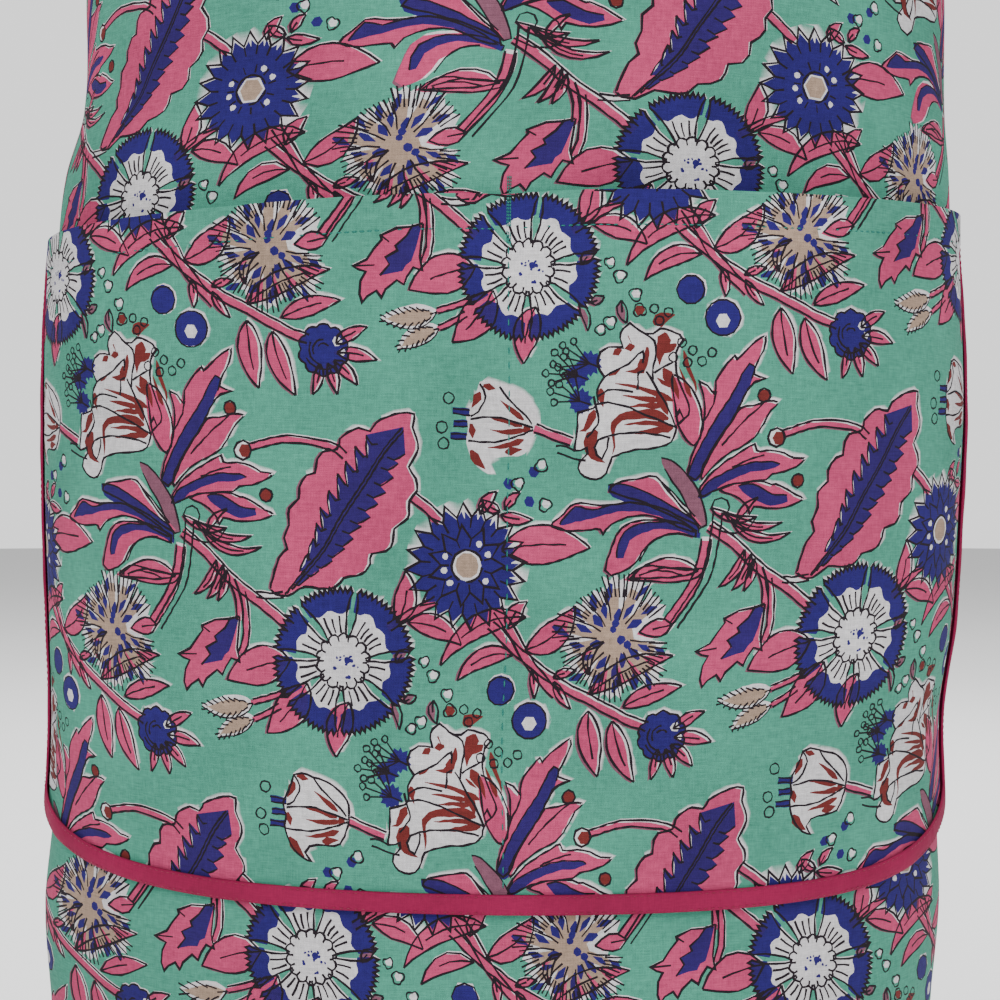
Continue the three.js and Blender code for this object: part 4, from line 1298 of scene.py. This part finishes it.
def threadMaterial(name, colour):
    material, tree = newMaterial(name)
    place = node(tree, "ShaderNodeTexCoord").outputs["Object"]
    twist = node(tree, "ShaderNodeTexNoise", {"Scale": 900.0, "Detail": 2.0}, {"Vector": place})
    shade = maths(tree, "ADD", maths(tree, "MULTIPLY", twist.outputs[0], 0.5), 0.75)
    tint = node(tree, "ShaderNodeCombineColor")
    for channel, value in zip(("Red", "Green", "Blue"), colour):
        tree.links.new(maths(tree, "MULTIPLY", shade, value), tint.inputs[channel])
    bump = node(tree, "ShaderNodeBump", {"Strength": 0.4, "Distance": 0.0001}, {"Height": twist.outputs[0]})
    skin = node(
        tree, "ShaderNodeBsdfPrincipled", {"Roughness": 0.6},
        {"Base Color": tint.outputs[0], "Normal": bump.outputs[0]},
    )
    node(tree, "ShaderNodeOutputMaterial", links={"Surface": skin.outputs[0]})
    return material


tealThread = threadMaterial("tealThread", (0.0, 0.13, 0.105))
pinkThread = threadMaterial("pinkThread", (0.2, 0.002, 0.03))
print("materials ready")


# Staggered points that break up the cloth between the inks
def gridPoints(outline, step, inside):
    low, high = outline.min(0), outline.max(0)
    x, y = np.meshgrid(np.arange(low[0] + step / 2, high[0], step), np.arange(low[1] + step / 2, high[1], step))
    x = x + (np.arange(len(x)) % 2)[:, None] * step / 2
    points = np.stack([x.ravel(), y.ravel()], 1)
    clear = ((points > low + step * 0.3) & (points < high - step * 0.3)).all(1)
    return points[clear & inside(points)]


# The part of an outline inside some limits (axis, side, value), with points along the cuts
def partOf(outline, limits, step):
    for axis, side, value in limits:
        kept = []
        for one, two in zip(outline, np.roll(outline, -1, 0)):
            a, b = (one[axis] - value) * side, (two[axis] - value) * side
            if a >= 0:
                kept.append(one)
            if a * b < 0:
                kept.append(one + (two - one) * a / (a - b))
        outline = np.array(kept)
    made = []
    for one, two in zip(outline, np.roll(outline, -1, 0)):
        made.append(one)
        axis = int(np.argmax(np.abs(two - one)))
        if abs(two[axis] - one[axis]) > step * 1.6:
            low, high = sorted((one[axis], two[axis]))
            stops = np.arange(math.floor(low / step) + 1, math.ceil(high / step)) * step
            stops = stops[(stops > low + step * 0.2) & (stops < high - step * 0.2)]
            if two[axis] < one[axis]:
                stops = stops[::-1]
            made += [one + (two - one) * (stop - one[axis]) / (two[axis] - one[axis]) for stop in stops]
    return np.array(made)


# Panel: bib and skirt in one piece of printed cotton
panelCut = {"edgeStep": 4.0, "grid": 11.0, "backGrid": 20.0, "edge": 2.0, "middle": 140.0, "hidden": 14.0}


def panelOutline():
    waist, bibTop = panel["waistZ"], panel["waistZ"] + panel["bibHeight"]
    hem = waist - panel["skirtLength"]
    step = panelCut["edgeStep"]
    half = panel["skirtWidth"] / 2
    heights = np.concatenate([
        np.arange(hem, waist, step), waist + np.linspace(0, 1, 56) ** 1.5 * panel["armholeHeight"],
        np.arange(waist + panel["armholeHeight"] + step, bibTop, step), [bibTop],
    ])
    right = np.stack([panelHalfWidth(heights), heights], 1)
    top = np.arange(panel["bibTopWidth"] / 2 - step, -panel["bibTopWidth"] / 2 + 1, -step)
    left = right[::-1] * (-1, 1)
    foot = np.arange(-half + step, half - 1, step)
    rows = [np.stack([x, np.full(len(x), z)], 1) for x, z in ((top, bibTop), (foot, hem))]
    return np.concatenate([right, rows[0], left, rows[1]])


def insidePanel(points):
    x, z = points.T
    low, high = panel["waistZ"] - panel["skirtLength"], panel["waistZ"] + panel["bibHeight"]
    edge = panelCut["edge"]
    return (np.abs(x) < panelHalfWidth(z) - edge) & (z > low + edge) & (z < high - edge)


# Hidden stamps behind the pocket are left out.
def showsPastPocket(shape, kind):
    p, q = shape[:, 0], panel["waistZ"] - pocket["drop"] - shape[:, 1]
    margin = panelCut["hidden"]
    behind = (np.abs(p) < pocket["width"] / 2 - margin) & (q > margin + 2) & (q < footAt(p) - margin)
    return not behind.all()


# The panel is one length of cloth, cut here into parts that meet edge to edge.
belowWaist, middle = (1, -1, panel["waistZ"]), panelCut["middle"]
panelParts = {
    "printedBib": [(1, 1, panel["waistZ"])],
    "printedSkirtLeft": [belowWaist, (0, 1, middle)],
    "printedSkirtMiddle": [belowWaist, (0, -1, middle), (0, 1, -middle)],
    "printedSkirtRight": [belowWaist, (0, -1, -middle)],
}
panelPieces = []
for name, limits in panelParts.items():
    outline = partOf(panelOutline(), limits, panelCut["edgeStep"])
    grids = [gridPoints(outline, panelCut[key], insidePanel) for key in ("grid", "backGrid")]
    panelPieces.append(printedCloth(
        name, "panel", outline, (coarseDetail, ghostDetail), grids,
        lambda flat, n: worn(flat[:, 0], flat[:, 1], n), panel["thick"], showsPastPocket,
    ))

# Pocket of the same cotton, with a folded hem along its mouth
pocketCut = {
    "edgeStep": 3.0, "grid": 6.0, "backGrid": 12.0, "edge": 1.2, "sideSteps": 84, "middle": 2.6,
    "hemRise": 0.7, "hemEdge": 0.6, "stitchDepth": 0.45, "stitchWidth": 0.9,
}


def pocketOutline():
    half, step = pocket["width"] / 2, pocketCut["edgeStep"]
    p = np.linspace(-half, half, int(pocket["width"] / step) + 1)
    foot = np.stack([p, -footAt(p)], 1)
    mouth = np.stack([p, -mouthAt(p)], 1)[::-1]
    side = np.linspace(0, 1, pocketCut["sideSteps"])[1:-1, None]
    right = foot[-1] + (mouth[0] - foot[-1]) * side
    left = mouth[-1] + (foot[0] - mouth[-1]) * side
    return np.concatenate([foot, right, mouth, left])


def insidePocket(points):
    p, q = points[:, 0], -points[:, 1]
    edge = pocketCut["edge"]
    return (np.abs(p) < pocket["width"] / 2 - edge) & (q < footAt(p) - edge) & (q > mouthAt(p) + edge)


def placePocket(flat, n):
    p, q = flat[:, 0], -flat[:, 1]
    past, edge = q - mouthAt(p) - pocket["hem"], pocketCut["hemEdge"]
    folded = pocketCut["hemRise"] * smooth((edge - past) / (2 * edge))
    sunk = pocketCut["stitchDepth"] * np.exp(-(past / pocketCut["stitchWidth"]) ** 2)
    return onPocket(p, q, pocket["base"] + pouchAt(p, q) + n + (folded - sunk) * (n > 0))


# Two halves that meet under the stitched divider
pocketPieces = []
for name, side in (("printedPocketLeft", 1), ("printedPocketRight", -1)):
    outline = partOf(pocketOutline(), [(0, side, pocketCut["middle"])], pocketCut["edgeStep"])
    grids = [gridPoints(outline, pocketCut[key], insidePocket) for key in ("grid", "backGrid")]
    pocketPieces.append(printedCloth(
        name, "pocket", outline, (fineDetail, ghostDetail), grids, placePocket, panel["thick"],
    ))


def fromBmesh(name, bm, material):
    bmesh.ops.recalc_face_normals(bm, faces=bm.faces)
    mesh = bpy.data.meshes.new(name)
    bm.to_mesh(mesh)
    bm.free()
    mesh.shade_smooth()
    return addPiece(name, mesh, material)


# A band: a closed cross-section carried along rows of points, with a flat cap at each open end
def bandPiece(name, rows, material, uvWidth, uvLength):
    rowCount, around = len(rows), len(rows[0])
    bm = bmesh.new()
    bmesh.ops.create_grid(bm, x_segments=around, y_segments=rowCount - 1, size=1.0)
    uv = bm.loops.layers.uv.new("bandCloth")
    for face in bm.faces:
        for loop in face.loops:
            loop[uv].uv = ((loop.vert.co.x + 1) / 2 * uvWidth, (loop.vert.co.y + 1) / 2 * uvLength)
    for v in bm.verts:
        i, j = round((v.co.x + 1) / 2 * around), round((v.co.y + 1) / 2 * (rowCount - 1))
        v.co = Vector(rows[j][i % around]) * mm
    bmesh.ops.remove_doubles(bm, verts=bm.verts, dist=1e-6)
    bmesh.ops.holes_fill(bm, edges=[e for e in bm.edges if e.is_boundary], sides=0)
    return fromBmesh(name, bm, material)


# Tape bound round the pocket, mitred at its lower corners
def tapePath():
    p = np.linspace(-1, 1, tape["footSteps"]) * pocket["width"] / 2
    foot = np.stack([p, footAt(p)], 1)
    tops = np.stack([p, mouthAt(p)], 1)[[0, -1]]
    side = np.linspace(0, 1, tape["sideSteps"])[:, None]
    left, right = tops[0] + (foot[0] - tops[0]) * side, foot[-1] + (tops[1] - foot[-1]) * side
    return np.concatenate([left[:-1], foot, right[1:]])


def besidePath(path, t):
    along = unit(np.diff(path, axis=0))
    sides = np.stack([-along[:, 1], along[:, 0]], 1)
    before = np.concatenate([sides[:1], sides])
    mitre = unit(before + np.concatenate([sides, sides[-1:]]))
    return path + mitre * (t / np.sum(mitre * before, axis=1))[:, None]


tapeTop = pocket["base"] + panel["thick"] + pocket["gap"] + tape["thick"]
tapeLip = tape["width"] - tape["overlap"]
# across the tape and up from the panel, once round its section
tapeSection = [
    (-tape["overlap"], tapeTop - 0.95), (-tape["overlap"] + 0.15, tapeTop - 0.35),
    (-tape["overlap"] + 0.7, tapeTop - 0.02), (-4.1, tapeTop - 0.12), (-3.2, tapeTop + 0.05),
    (-1.4, tapeTop + 0.12), (0.2, tapeTop + 0.02), (1.2, tapeTop - 0.16), (tapeLip - 0.45, tapeTop - 0.35),
    (tapeLip - 0.08, tapeTop - 0.8), (tapeLip, tapeTop - 1.6), (tapeLip, pocket["base"] + 0.1),
    (1.3, pocket["base"] + 0.05), (1.25, tapeTop - 1.1), (-1.5, tapeTop - 1.1), (-4.6, tapeTop - 1.08),
]
path = tapePath()
row = np.arange(len(path))
pucker = tape["pucker"] * (np.sin(row * 0.9) + np.sin(row * 0.37 + 1))
columns = []
for t, n in tapeSection:
    spots = besidePath(path, t + (pucker * 0.8 if -5 < t < 2 else 0))
    raised = n + (pucker if n > tapeTop - 0.4 else 0)
    columns.append(onPocket(spots[:, 0], spots[:, 1], raised))
rows = np.stack(columns, 1)
pocketBinding = bandPiece("pocketBinding", rows, pinkCotton, 0.022, 0.95)
print("pocket and binding made")


# Stitches: small flattened grains of thread set along a line on the cloth, all from one grain.
def stitchPiece(name, places, outs, ways, length, width, material):
    bm = bmesh.new()
    bmesh.ops.create_uvsphere(bm, u_segments=5, v_segments=3, radius=1.0)
    bmesh.ops.recalc_face_normals(bm, faces=bm.faces)
    grain = np.array([v.co[:] for v in bm.verts])
    grainFaces = [[v.index for v in face.verts] for face in bm.faces]
    bm.free()
    sides = np.cross(outs, ways)
    long, wide, high = grain[:, 0] * length / 2, grain[:, 1] * width / 2, grain[:, 2] * width * 0.3
    spots = places[:, None]
    for way, share in ((ways, long), (sides, wide), (outs, high)):
        spots = spots + way[:, None] * share[:, None]
    faces = [[v + i * len(grain) for v in face] for i in range(len(places)) for face in grainFaces]
    mesh = bpy.data.meshes.new(name)
    mesh.from_pydata((spots.reshape(-1, 3) * mm).tolist(), [], faces)
    mesh.shade_smooth()
    return addPiece(name, mesh, material)


# Where the rows of some table are at each length along a line
def rowsAt(at, along, rows):
    return np.stack([np.interp(at, along, column) for column in rows.T], 1)


def lengthAlong(line):
    return np.concatenate([[0], np.cumsum(np.linalg.norm(np.diff(line, axis=0), axis=1))])


# Stitches along a flat line on a piece of cloth that place() puts on the wearer.
def stitchLine(place, flatLine, spacing):
    along = lengthAlong(flatLine)
    count = max(1, int(along[-1] / spacing))
    at = (np.arange(count) + 0.5) * along[-1] / count
    spots, ahead, behind = (rowsAt(stops, along, flatLine) for stops in (at, at + 1, at - 1))
    return place(spots), outOf(place, spots), unit(place(ahead) - place(behind))


def stitched(name, kind, place, lines):
    gap, length, thread = stitch[kind]
    rows = [np.concatenate(part) for part in zip(*(stitchLine(place, line, gap) for line in lines))]
    return stitchPiece(name, *rows, length, thread, tealThread)


# gap from one stitch to the next, length and thread of each kind
stitch = {
    "hem": (2.6, 2.2, 0.7), "divider": (5.2, 3.4, 0.7), "bartack": (1.2, 1.5, 0.6), "panel": (3.2, 2.4, 0.5),
    "binding": (2.7, 1.9, 0.42), "strap": (3.0, 2.2, 0.42),
    "lift": 0.05, "panelInset": 8.0, "bindingInsets": (-4.35, 1.35),
}


def onPocketFace(flat):
    return placePocket(flat, panel["thick"] + stitch["lift"])


def onPanelFace(flat):
    return worn(flat[:, 0], flat[:, 1], panel["thick"] + stitch["lift"])


# On the pocket below its mouth, and on the panel above it
def onBoth(flat):
    onPanel = worn(*pocketToFlat(flat[:, 0], -flat[:, 1]), panel["thick"] + 0.3)
    above = flat[:, 1] > 0.3 - mouthAt(flat[:, 0])
    return np.where(above[:, None], onPanel, placePocket(flat, panel["thick"] + 0.1))


half = pocket["width"] / 2 - 3
p = np.linspace(-half, half, 120)
down = np.linspace(18, pocket["height"] - 6, 80)
mouthHem = np.stack([p, -(mouthAt(p) + pocket["hem"])], 1)
dividerLine = np.stack([1.5 + 0.012 * down, -down], 1)
tackLines = [np.array([(0.6 + 0.6 * k, 7.5), (1.2 + 0.6 * k, -18.0)]) for k in range(3)]
mouthStitches = stitched("mouthStitches", "hem", onPocketFace, [mouthHem])
dividerStitches = stitched("dividerStitches", "divider", onPocketFace, [dividerLine])
bartack = stitched("bartack", "bartack", onBoth, tackLines)


# Hem stitches round the whole panel, in from its edge
def panelHemLine(inset):
    line = panelOutline()
    line = np.concatenate([line, line[:1]])
    along = unit(np.gradient(line, axis=0))
    moved = line + np.stack([-along[:, 1], along[:, 0]], 1) * inset
    limit = panelHalfWidth(moved[:, 1]) - inset * 0.9
    low, high = panel["waistZ"] - panel["skirtLength"] + inset, panel["waistZ"] + panel["bibHeight"] - inset
    return np.stack([np.clip(moved[:, 0], -limit, limit), np.clip(moved[:, 1], low, high)], 1)


panelStitches = stitched("panelStitches", "panel", onPanelFace, [panelHemLine(stitch["panelInset"])])

# Edge stitches of the binding, a thread's width inside each of its edges
gap, length, thread = stitch["binding"]
found = []
for t, sunk in zip(stitch["bindingInsets"], (0.02, 0.15)):
    places, outs, ways = stitchLine(
        lambda flat: onPocket(flat[:, 0], flat[:, 1], tapeTop - sunk), besidePath(path, t), gap,
    )
    found.append((places, -outs, ways))
rows = [np.concatenate(part) for part in zip(*found)]
bindingStitches = stitchPiece("bindingStitches", *rows, length, thread, pinkThread)
print("stitches made")


# Straps: folded tape of the binding's cotton, stitched along both edges
strap = {
    "width": 25.0, "thick": 2.0, "sewn": 26.0, "inset": 3.0, "neck": 63.0, "lift": 13.0, "stitchInset": 2.2,
}
underPanel = -pocket["gap"] - strap["thick"]


def strapSection(wide, thick):
    half, soft = wide / 2, thick / 2
    outer = [
        (-half, soft * 0.9), (-half + 0.25, soft * 1.5), (-half + 0.8, thick),
        (-half + 2.2, thick - 0.16), (-half + 3.6, thick), (-half * 0.4, thick + 0.05),
    ]
    outer += [(-s, n) for s, n in outer[::-1]]
    inner = [(half, soft * 0.7), (half - 0.8, 0.0), (half - 2.2, 0.12), (half - 3.6, 0.0), (0.0, 0.0)]
    return outer + inner + [(-s, n) for s, n in inner[:4][::-1]]


def strapPiece(name, frames, uvLength):
    section = strapSection(strap["width"], strap["thick"])
    rows = [[place(s, n) for s, n in section] for place in frames]
    return bandPiece(name, rows, pinkCotton, 2 * (strap["width"] + strap["thick"]) * mm, uvLength)


def centripetal(points, shares):
    points = np.asarray(points, float)
    row = np.concatenate([[2 * points[0] - points[1]], points, [2 * points[-1] - points[-2]]])
    made = []
    for at in shares * (len(points) - 1):
        i = min(int(at), len(points) - 2)
        w = at - i
        a, b, c, d = row[i:i + 4]
        ta, tb, tc = (max(np.linalg.norm(v - u) ** 0.5, 1e-4) for u, v in ((a, b), (b, c), (c, d)))
        m1 = ((b - a) / ta - (c - a) / (ta + tb) + (c - b) / tb) * tb
        m2 = ((c - b) / tb - (d - b) / (tb + tc) + (d - c) / tc) * tb
        made.append(b + m1 * w + (-3 * b + 3 * c - 2 * m1 - m2) * w * w + (2 * b - 2 * c + m1 + m2) * w ** 3)
    return np.array(made)


def freeFrames(ats, outs, steps):
    shares = np.linspace(0, 1, steps + 1)
    path, facing = centripetal(ats, shares), centripetal(outs, shares)
    ahead = np.gradient(path, axis=0)
    frames = []
    for at, way, out in zip(path, unit(ahead), facing):
        out = unit(out - way * np.dot(out, way))
        side = np.cross(way, out)
        frames.append(lambda s, n, at=at, side=side, out=out: at + side * s + out * n)
    return frames


def wornOne(u, z, n):
    return worn(np.array([u]), np.array([z]), np.array([n]))[0]


bibTop = panel["waistZ"] + panel["bibHeight"]
strapU = panel["bibTopWidth"] / 2 - strap["inset"] - strap["width"] / 2
bibCorner = wornOne(strapU, bibTop, underPanel)
neckSide = np.array((strap["neck"], -strap["neck"], strap["lift"]))
strapRise = np.linalg.norm(neckSide - bibCorner)


def chestPoint(share, bulge):
    return bibCorner + (neckSide - bibCorner) * share + np.array((0.3, -1, 0.8)) * bulge * strapRise


cornerOut = wornOne(strapU, bibTop, 1) - wornOne(strapU, bibTop, 0)
halfStrap = [
    (bibCorner, cornerOut), (chestPoint(0.33, 0.07), (0.52, -0.8, 0.3)),
    (chestPoint(0.68, 0.09), (0.62, -0.55, 0.56)), (neckSide, (0.86, 0.0, 0.5)),
    (neckSide * (0.74, 0.3, 0.5), (0.72, 0.64, 0.26)),
]
mirror = np.array((-1, 1, 1))
otherHalf = [(at * mirror, np.array(out) * mirror) for at, out in halfStrap[::-1]]
strapLoop = halfStrap + [(np.zeros(3), (0, 1, 0))] + otherHalf
loopFrames = freeFrames([at for at, _ in strapLoop], [np.array(out, float) for _, out in strapLoop], 120)


# The end of the strap that is sewn under a bib corner, from its foot up
def sewnFrames(side):
    depths = [strap["sewn"] * (1 - i / 8) for i in range(8)]
    return [lambda s, n, d=d: wornOne(side * strapU + s, bibTop - d, underPanel + n) for d in depths]


endFrames = [lambda s, n, place=place: place(-s, n) for place in sewnFrames(-1)[::-1]]
neckFrames = sewnFrames(1) + loopFrames[1:-1] + endFrames
neckStrap = strapPiece("neckStrap", neckFrames, 0.65)


# Stitches along both edges of a strap, on its outer face
def strapStitches(name, frames):
    gap, length, thread = stitch["strap"]
    inset = strap["width"] / 2 - strap["stitchInset"]
    found = []
    for s in (-inset, inset):
        line = np.array([place(s, strap["thick"] - 0.1) for place in frames])
        lift = np.array([place(s, strap["thick"] + 1) for place in frames]) - line
        along = lengthAlong(line)
        at = np.arange(2.0, along[-1] - 2, gap)
        way = rowsAt(at + 1, along, line) - rowsAt(at - 1, along, line)
        found.append((rowsAt(at, along, line), unit(rowsAt(at, along, lift)), unit(way)))
    rows = [np.concatenate(part) for part in zip(*found)]
    return stitchPiece(name, *rows, length, thread, pinkThread)


neckStitches = strapStitches("neckStitches", neckFrames)

# Waist ties: from under the panel's corners round to the knot behind
knot = {"width": 36.0, "height": 30.0, "depth": 20.0, "gap": 0.4, "ridges": 7, "ridgeDepth": 0.07}
tieZ = panel["waistZ"] - strap["inset"] - strap["width"] / 2
backHalf = float(halfAt(tieZ))
tieStart = panel["skirtWidth"] / 2 - strap["sewn"]
tieStop = backHalf - knot["width"] / 2 - knot["gap"]


def tieFrames(side):
    frames = []
    for u in np.linspace(tieStart, tieStop, 41):
        hem = panel["skirtWidth"] / 2
        free = float(smooth((u - hem) / (tieStop - hem)))

        def place(s, n, u=u, free=free):
            slack = (float(halfAt(tieZ + s)) - backHalf) * free
            return wornOne(side * (u + slack), tieZ + s, underPanel * (1 - free) + n)

        frames.append(place)
    return frames


ties, tieStitches = [], []
for side, name in ((1, "Left"), (-1, "Right")):
    frames = tieFrames(side)
    ties.append(strapPiece("waistTie" + name, frames, 0.16))
    tieStitches.append(strapStitches("tieStitches" + name, frames))

# Knot: the two ties drawn tight, with a wrap across the middle
knotCentre = wornOne(backHalf, tieZ, strap["thick"] / 2)
bm = bmesh.new()
bmesh.ops.create_uvsphere(bm, u_segments=48, v_segments=32, radius=1.0)
uv = bm.loops.layers.uv.new("bandCloth")
for face in bm.faces:
    for loopCorner in face.loops:
        co = loopCorner.vert.co
        loopCorner[uv].uv = (math.atan2(co.y, co.x) * 0.008, co.z * 0.016)
for v in bm.verts:
    x, y, z = v.co
    ridge = 1 - knot["ridgeDepth"] * (1 - math.cos(knot["ridges"] * math.atan2(y, z) + 2.0 * x))
    wide = x * 0.985 * knot["width"] / 2
    deep = y * ridge * (0.80 + 0.26 * abs(x)) * knot["depth"] / 2
    high = z * ridge * (0.86 + 0.14 * abs(x)) * knot["height"] / 2
    v.co = (Vector((wide, deep, high)) + Vector(knotCentre)) * mm
tieKnot = fromBmesh("tieKnot", bm, pinkCotton)

wrap = {"width": 14.0, "thick": 1.4, "deep": 8.9, "high": 13.6, "sway": 1.6, "steps": 48}
wrapSection = [
    (-0.5, 0.0), (-0.5, 0.6), (-0.36, 1.0), (-0.12, 0.86), (0.15, 1.0), (0.38, 0.95), (0.5, 0.55), (0.5, 0.0),
    (0.0, -0.2),
]
wrapRows = []
for turn in np.linspace(0, 2 * math.pi, wrap["steps"] + 1):
    across, back, up = math.sin(turn * 2), math.cos(turn), math.sin(turn)
    centre = knotCentre + np.array((wrap["sway"] * across, wrap["deep"] * back, wrap["high"] * up))
    out = unit(np.array((0, back / wrap["deep"], up / wrap["high"])))
    wrapRows.append([centre + (s * wrap["width"], 0, 0) + out * n * wrap["thick"] for s, n in wrapSection])
knotWrap = bandPiece("knotWrap", wrapRows, pinkCotton, 0.035, 0.08)

# Tie ends: hang from the knot down the back
ends = {"length": 330.0, "spread": 34.0, "hang": 4.0}
endTop = knotCentre[2] - knot["height"] / 2 - knot["gap"]


def hangingFrames(side):
    ats, outs = [], []
    atKnot = knotCentre[1] - strap["thick"] / 2
    for share in np.linspace(0, 1, 7):
        z = endTop - ends["length"] * share
        behind = onForm(np.array([halfAt(z)]), np.array([z]))[0][1] + ends["hang"] * float(smooth(share * 3))
        spread = (strap["width"] / 2 + pocket["gap"]) * (1 - share) + ends["spread"] * share
        y = atKnot + (max(behind, atKnot) - atKnot) * float(smooth(share * 6))
        ats.append((knotCentre[0] + side * spread, y, z))
        outs.append((side * 0.12 * share, 1, 0.05))
    return freeFrames(np.array(ats), np.array(outs, float), 48)


for side, name in ((1, "Left"), (-1, "Right")):
    frames = hangingFrames(side)
    ties.append(strapPiece("tieEnd" + name, frames, 0.33))
    tieStitches.append(strapStitches("endStitches" + name, frames))
print("straps and knot made")

# What stands for what
standIns = {
    "body_panel": panelPieces, "pocket": pocketPieces, "pocket_binding": [pocketBinding],
    "neck_strap": [neckStrap], "waist_tie_left": [ties[0]], "waist_tie_right": [ties[1]],
    "tie_knot": [tieKnot], "tie_end_left": [ties[2]], "tie_end_right": [ties[3]],
}
for nodeName, pieces in standIns.items():
    for piece in pieces:
        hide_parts(nodeName)
pinkPieces = [pocketBinding, bindingStitches]
strapPieces = [neckStrap, neckStitches, *ties, *tieStitches, tieKnot, knotWrap]
printedPieces = [*panelPieces, *pocketPieces, mouthStitches, dividerStitches, bartack, panelStitches]
slots = {"printed_cotton": printedPieces, "binding_cotton": pinkPieces, "strap_cotton": strapPieces}
for slotName, pieces in slots.items():
    for piece in pieces:
        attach(piece, "root")

# Each part as it was cut: its flat size, its area where it isn't a rectangle, and what is sewn to it
cuts = {
    "printedBib": ((0.70, 0.25), 0.0894, [neckStrap, neckStitches]),
    "printedSkirtLeft": ((0.21, 0.55), None, [ties[0], tieStitches[0]]),
    "printedSkirtMiddle": ((0.28, 0.55), None, [panelStitches]),
    "printedSkirtRight": ((0.21, 0.55), None, [ties[1], tieStitches[1]]),
    "printedPocketLeft": ((0.2254, 0.268), None, [mouthStitches, dividerStitches, bartack, bindingStitches]),
    "printedPocketRight": ((0.2306, 0.268), None, []),
}
for piece in [*panelPieces, *pocketPieces]:
    size, area, trims = cuts[piece.name]
    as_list(trims)

# A plain pale floor and soft studio light
studio = {
    "floor": -0.93, "floorSize": 14.0, "floorShade": 0.94, "sky": 0.66, "skyShown": 1.35,
    "key": {"place": (-0.35, -2.1, 0.75), "aim": (0, 0, -0.42), "size": 1.0, "watts": 42.0},
    "fill": {"place": (1.3, -1.7, 0.2), "aim": (0, 0, -0.4), "size": 1.6, "watts": 8.0},
    "back": {"place": (0.4, 2.0, 0.9), "aim": (0, 0, -0.5), "size": 1.8, "watts": 18.0},
    "overhead": {"place": (0.0, 1.4, 2.6), "aim": (0, 1.6, -1), "size": 3.0, "watts": 150.0},
}
bm = bmesh.new()
bmesh.ops.create_circle(bm, cap_ends=True, segments=96, radius=studio["floorSize"])
bmesh.ops.translate(bm, vec=(0, 0, studio["floor"]), verts=bm.verts)
floorMesh = bpy.data.meshes.new("floor")
bm.to_mesh(floorMesh)
bm.free()
floorMaterial = bpy.data.materials.new("paleFloor")
floorMaterial.use_nodes = True
floorSkin = floorMaterial.node_tree.nodes["Principled BSDF"]
floorSkin.inputs["Base Color"].default_value = (studio["floorShade"],) * 3 + (1,)
floorSkin.inputs["Roughness"].default_value = 0.8
addPiece("floor", floorMesh, floorMaterial)

# The sky is shown brighter than it shines, as a white studio is.
world = bpy.data.worlds.new("studioSky")
world.use_nodes = True
sky = world.node_tree.nodes["Background"]
sky.inputs[0].default_value = (1, 1, 1, 1)
seen = world.node_tree.nodes.new("ShaderNodeLightPath").outputs["Is Camera Ray"]
shown = maths(world.node_tree, "MULTIPLY", seen, studio["skyShown"] - studio["sky"])
world.node_tree.links.new(maths(world.node_tree, "ADD", shown, studio["sky"]), sky.inputs[1])
bpy.context.scene.world = world
for name in ("key", "fill", "back", "overhead"):
    light = bpy.data.lights.new(name, "AREA")
    light.size = studio[name]["size"]
    light.energy = studio[name]["watts"]
    lamp = addPiece(name, light)
    lamp.location = studio[name]["place"]
    aim = Vector(studio[name]["aim"]) - lamp.location
    lamp.rotation_euler = aim.to_track_quat("-Z", "Y").to_euler()
print("stage and lights ready")
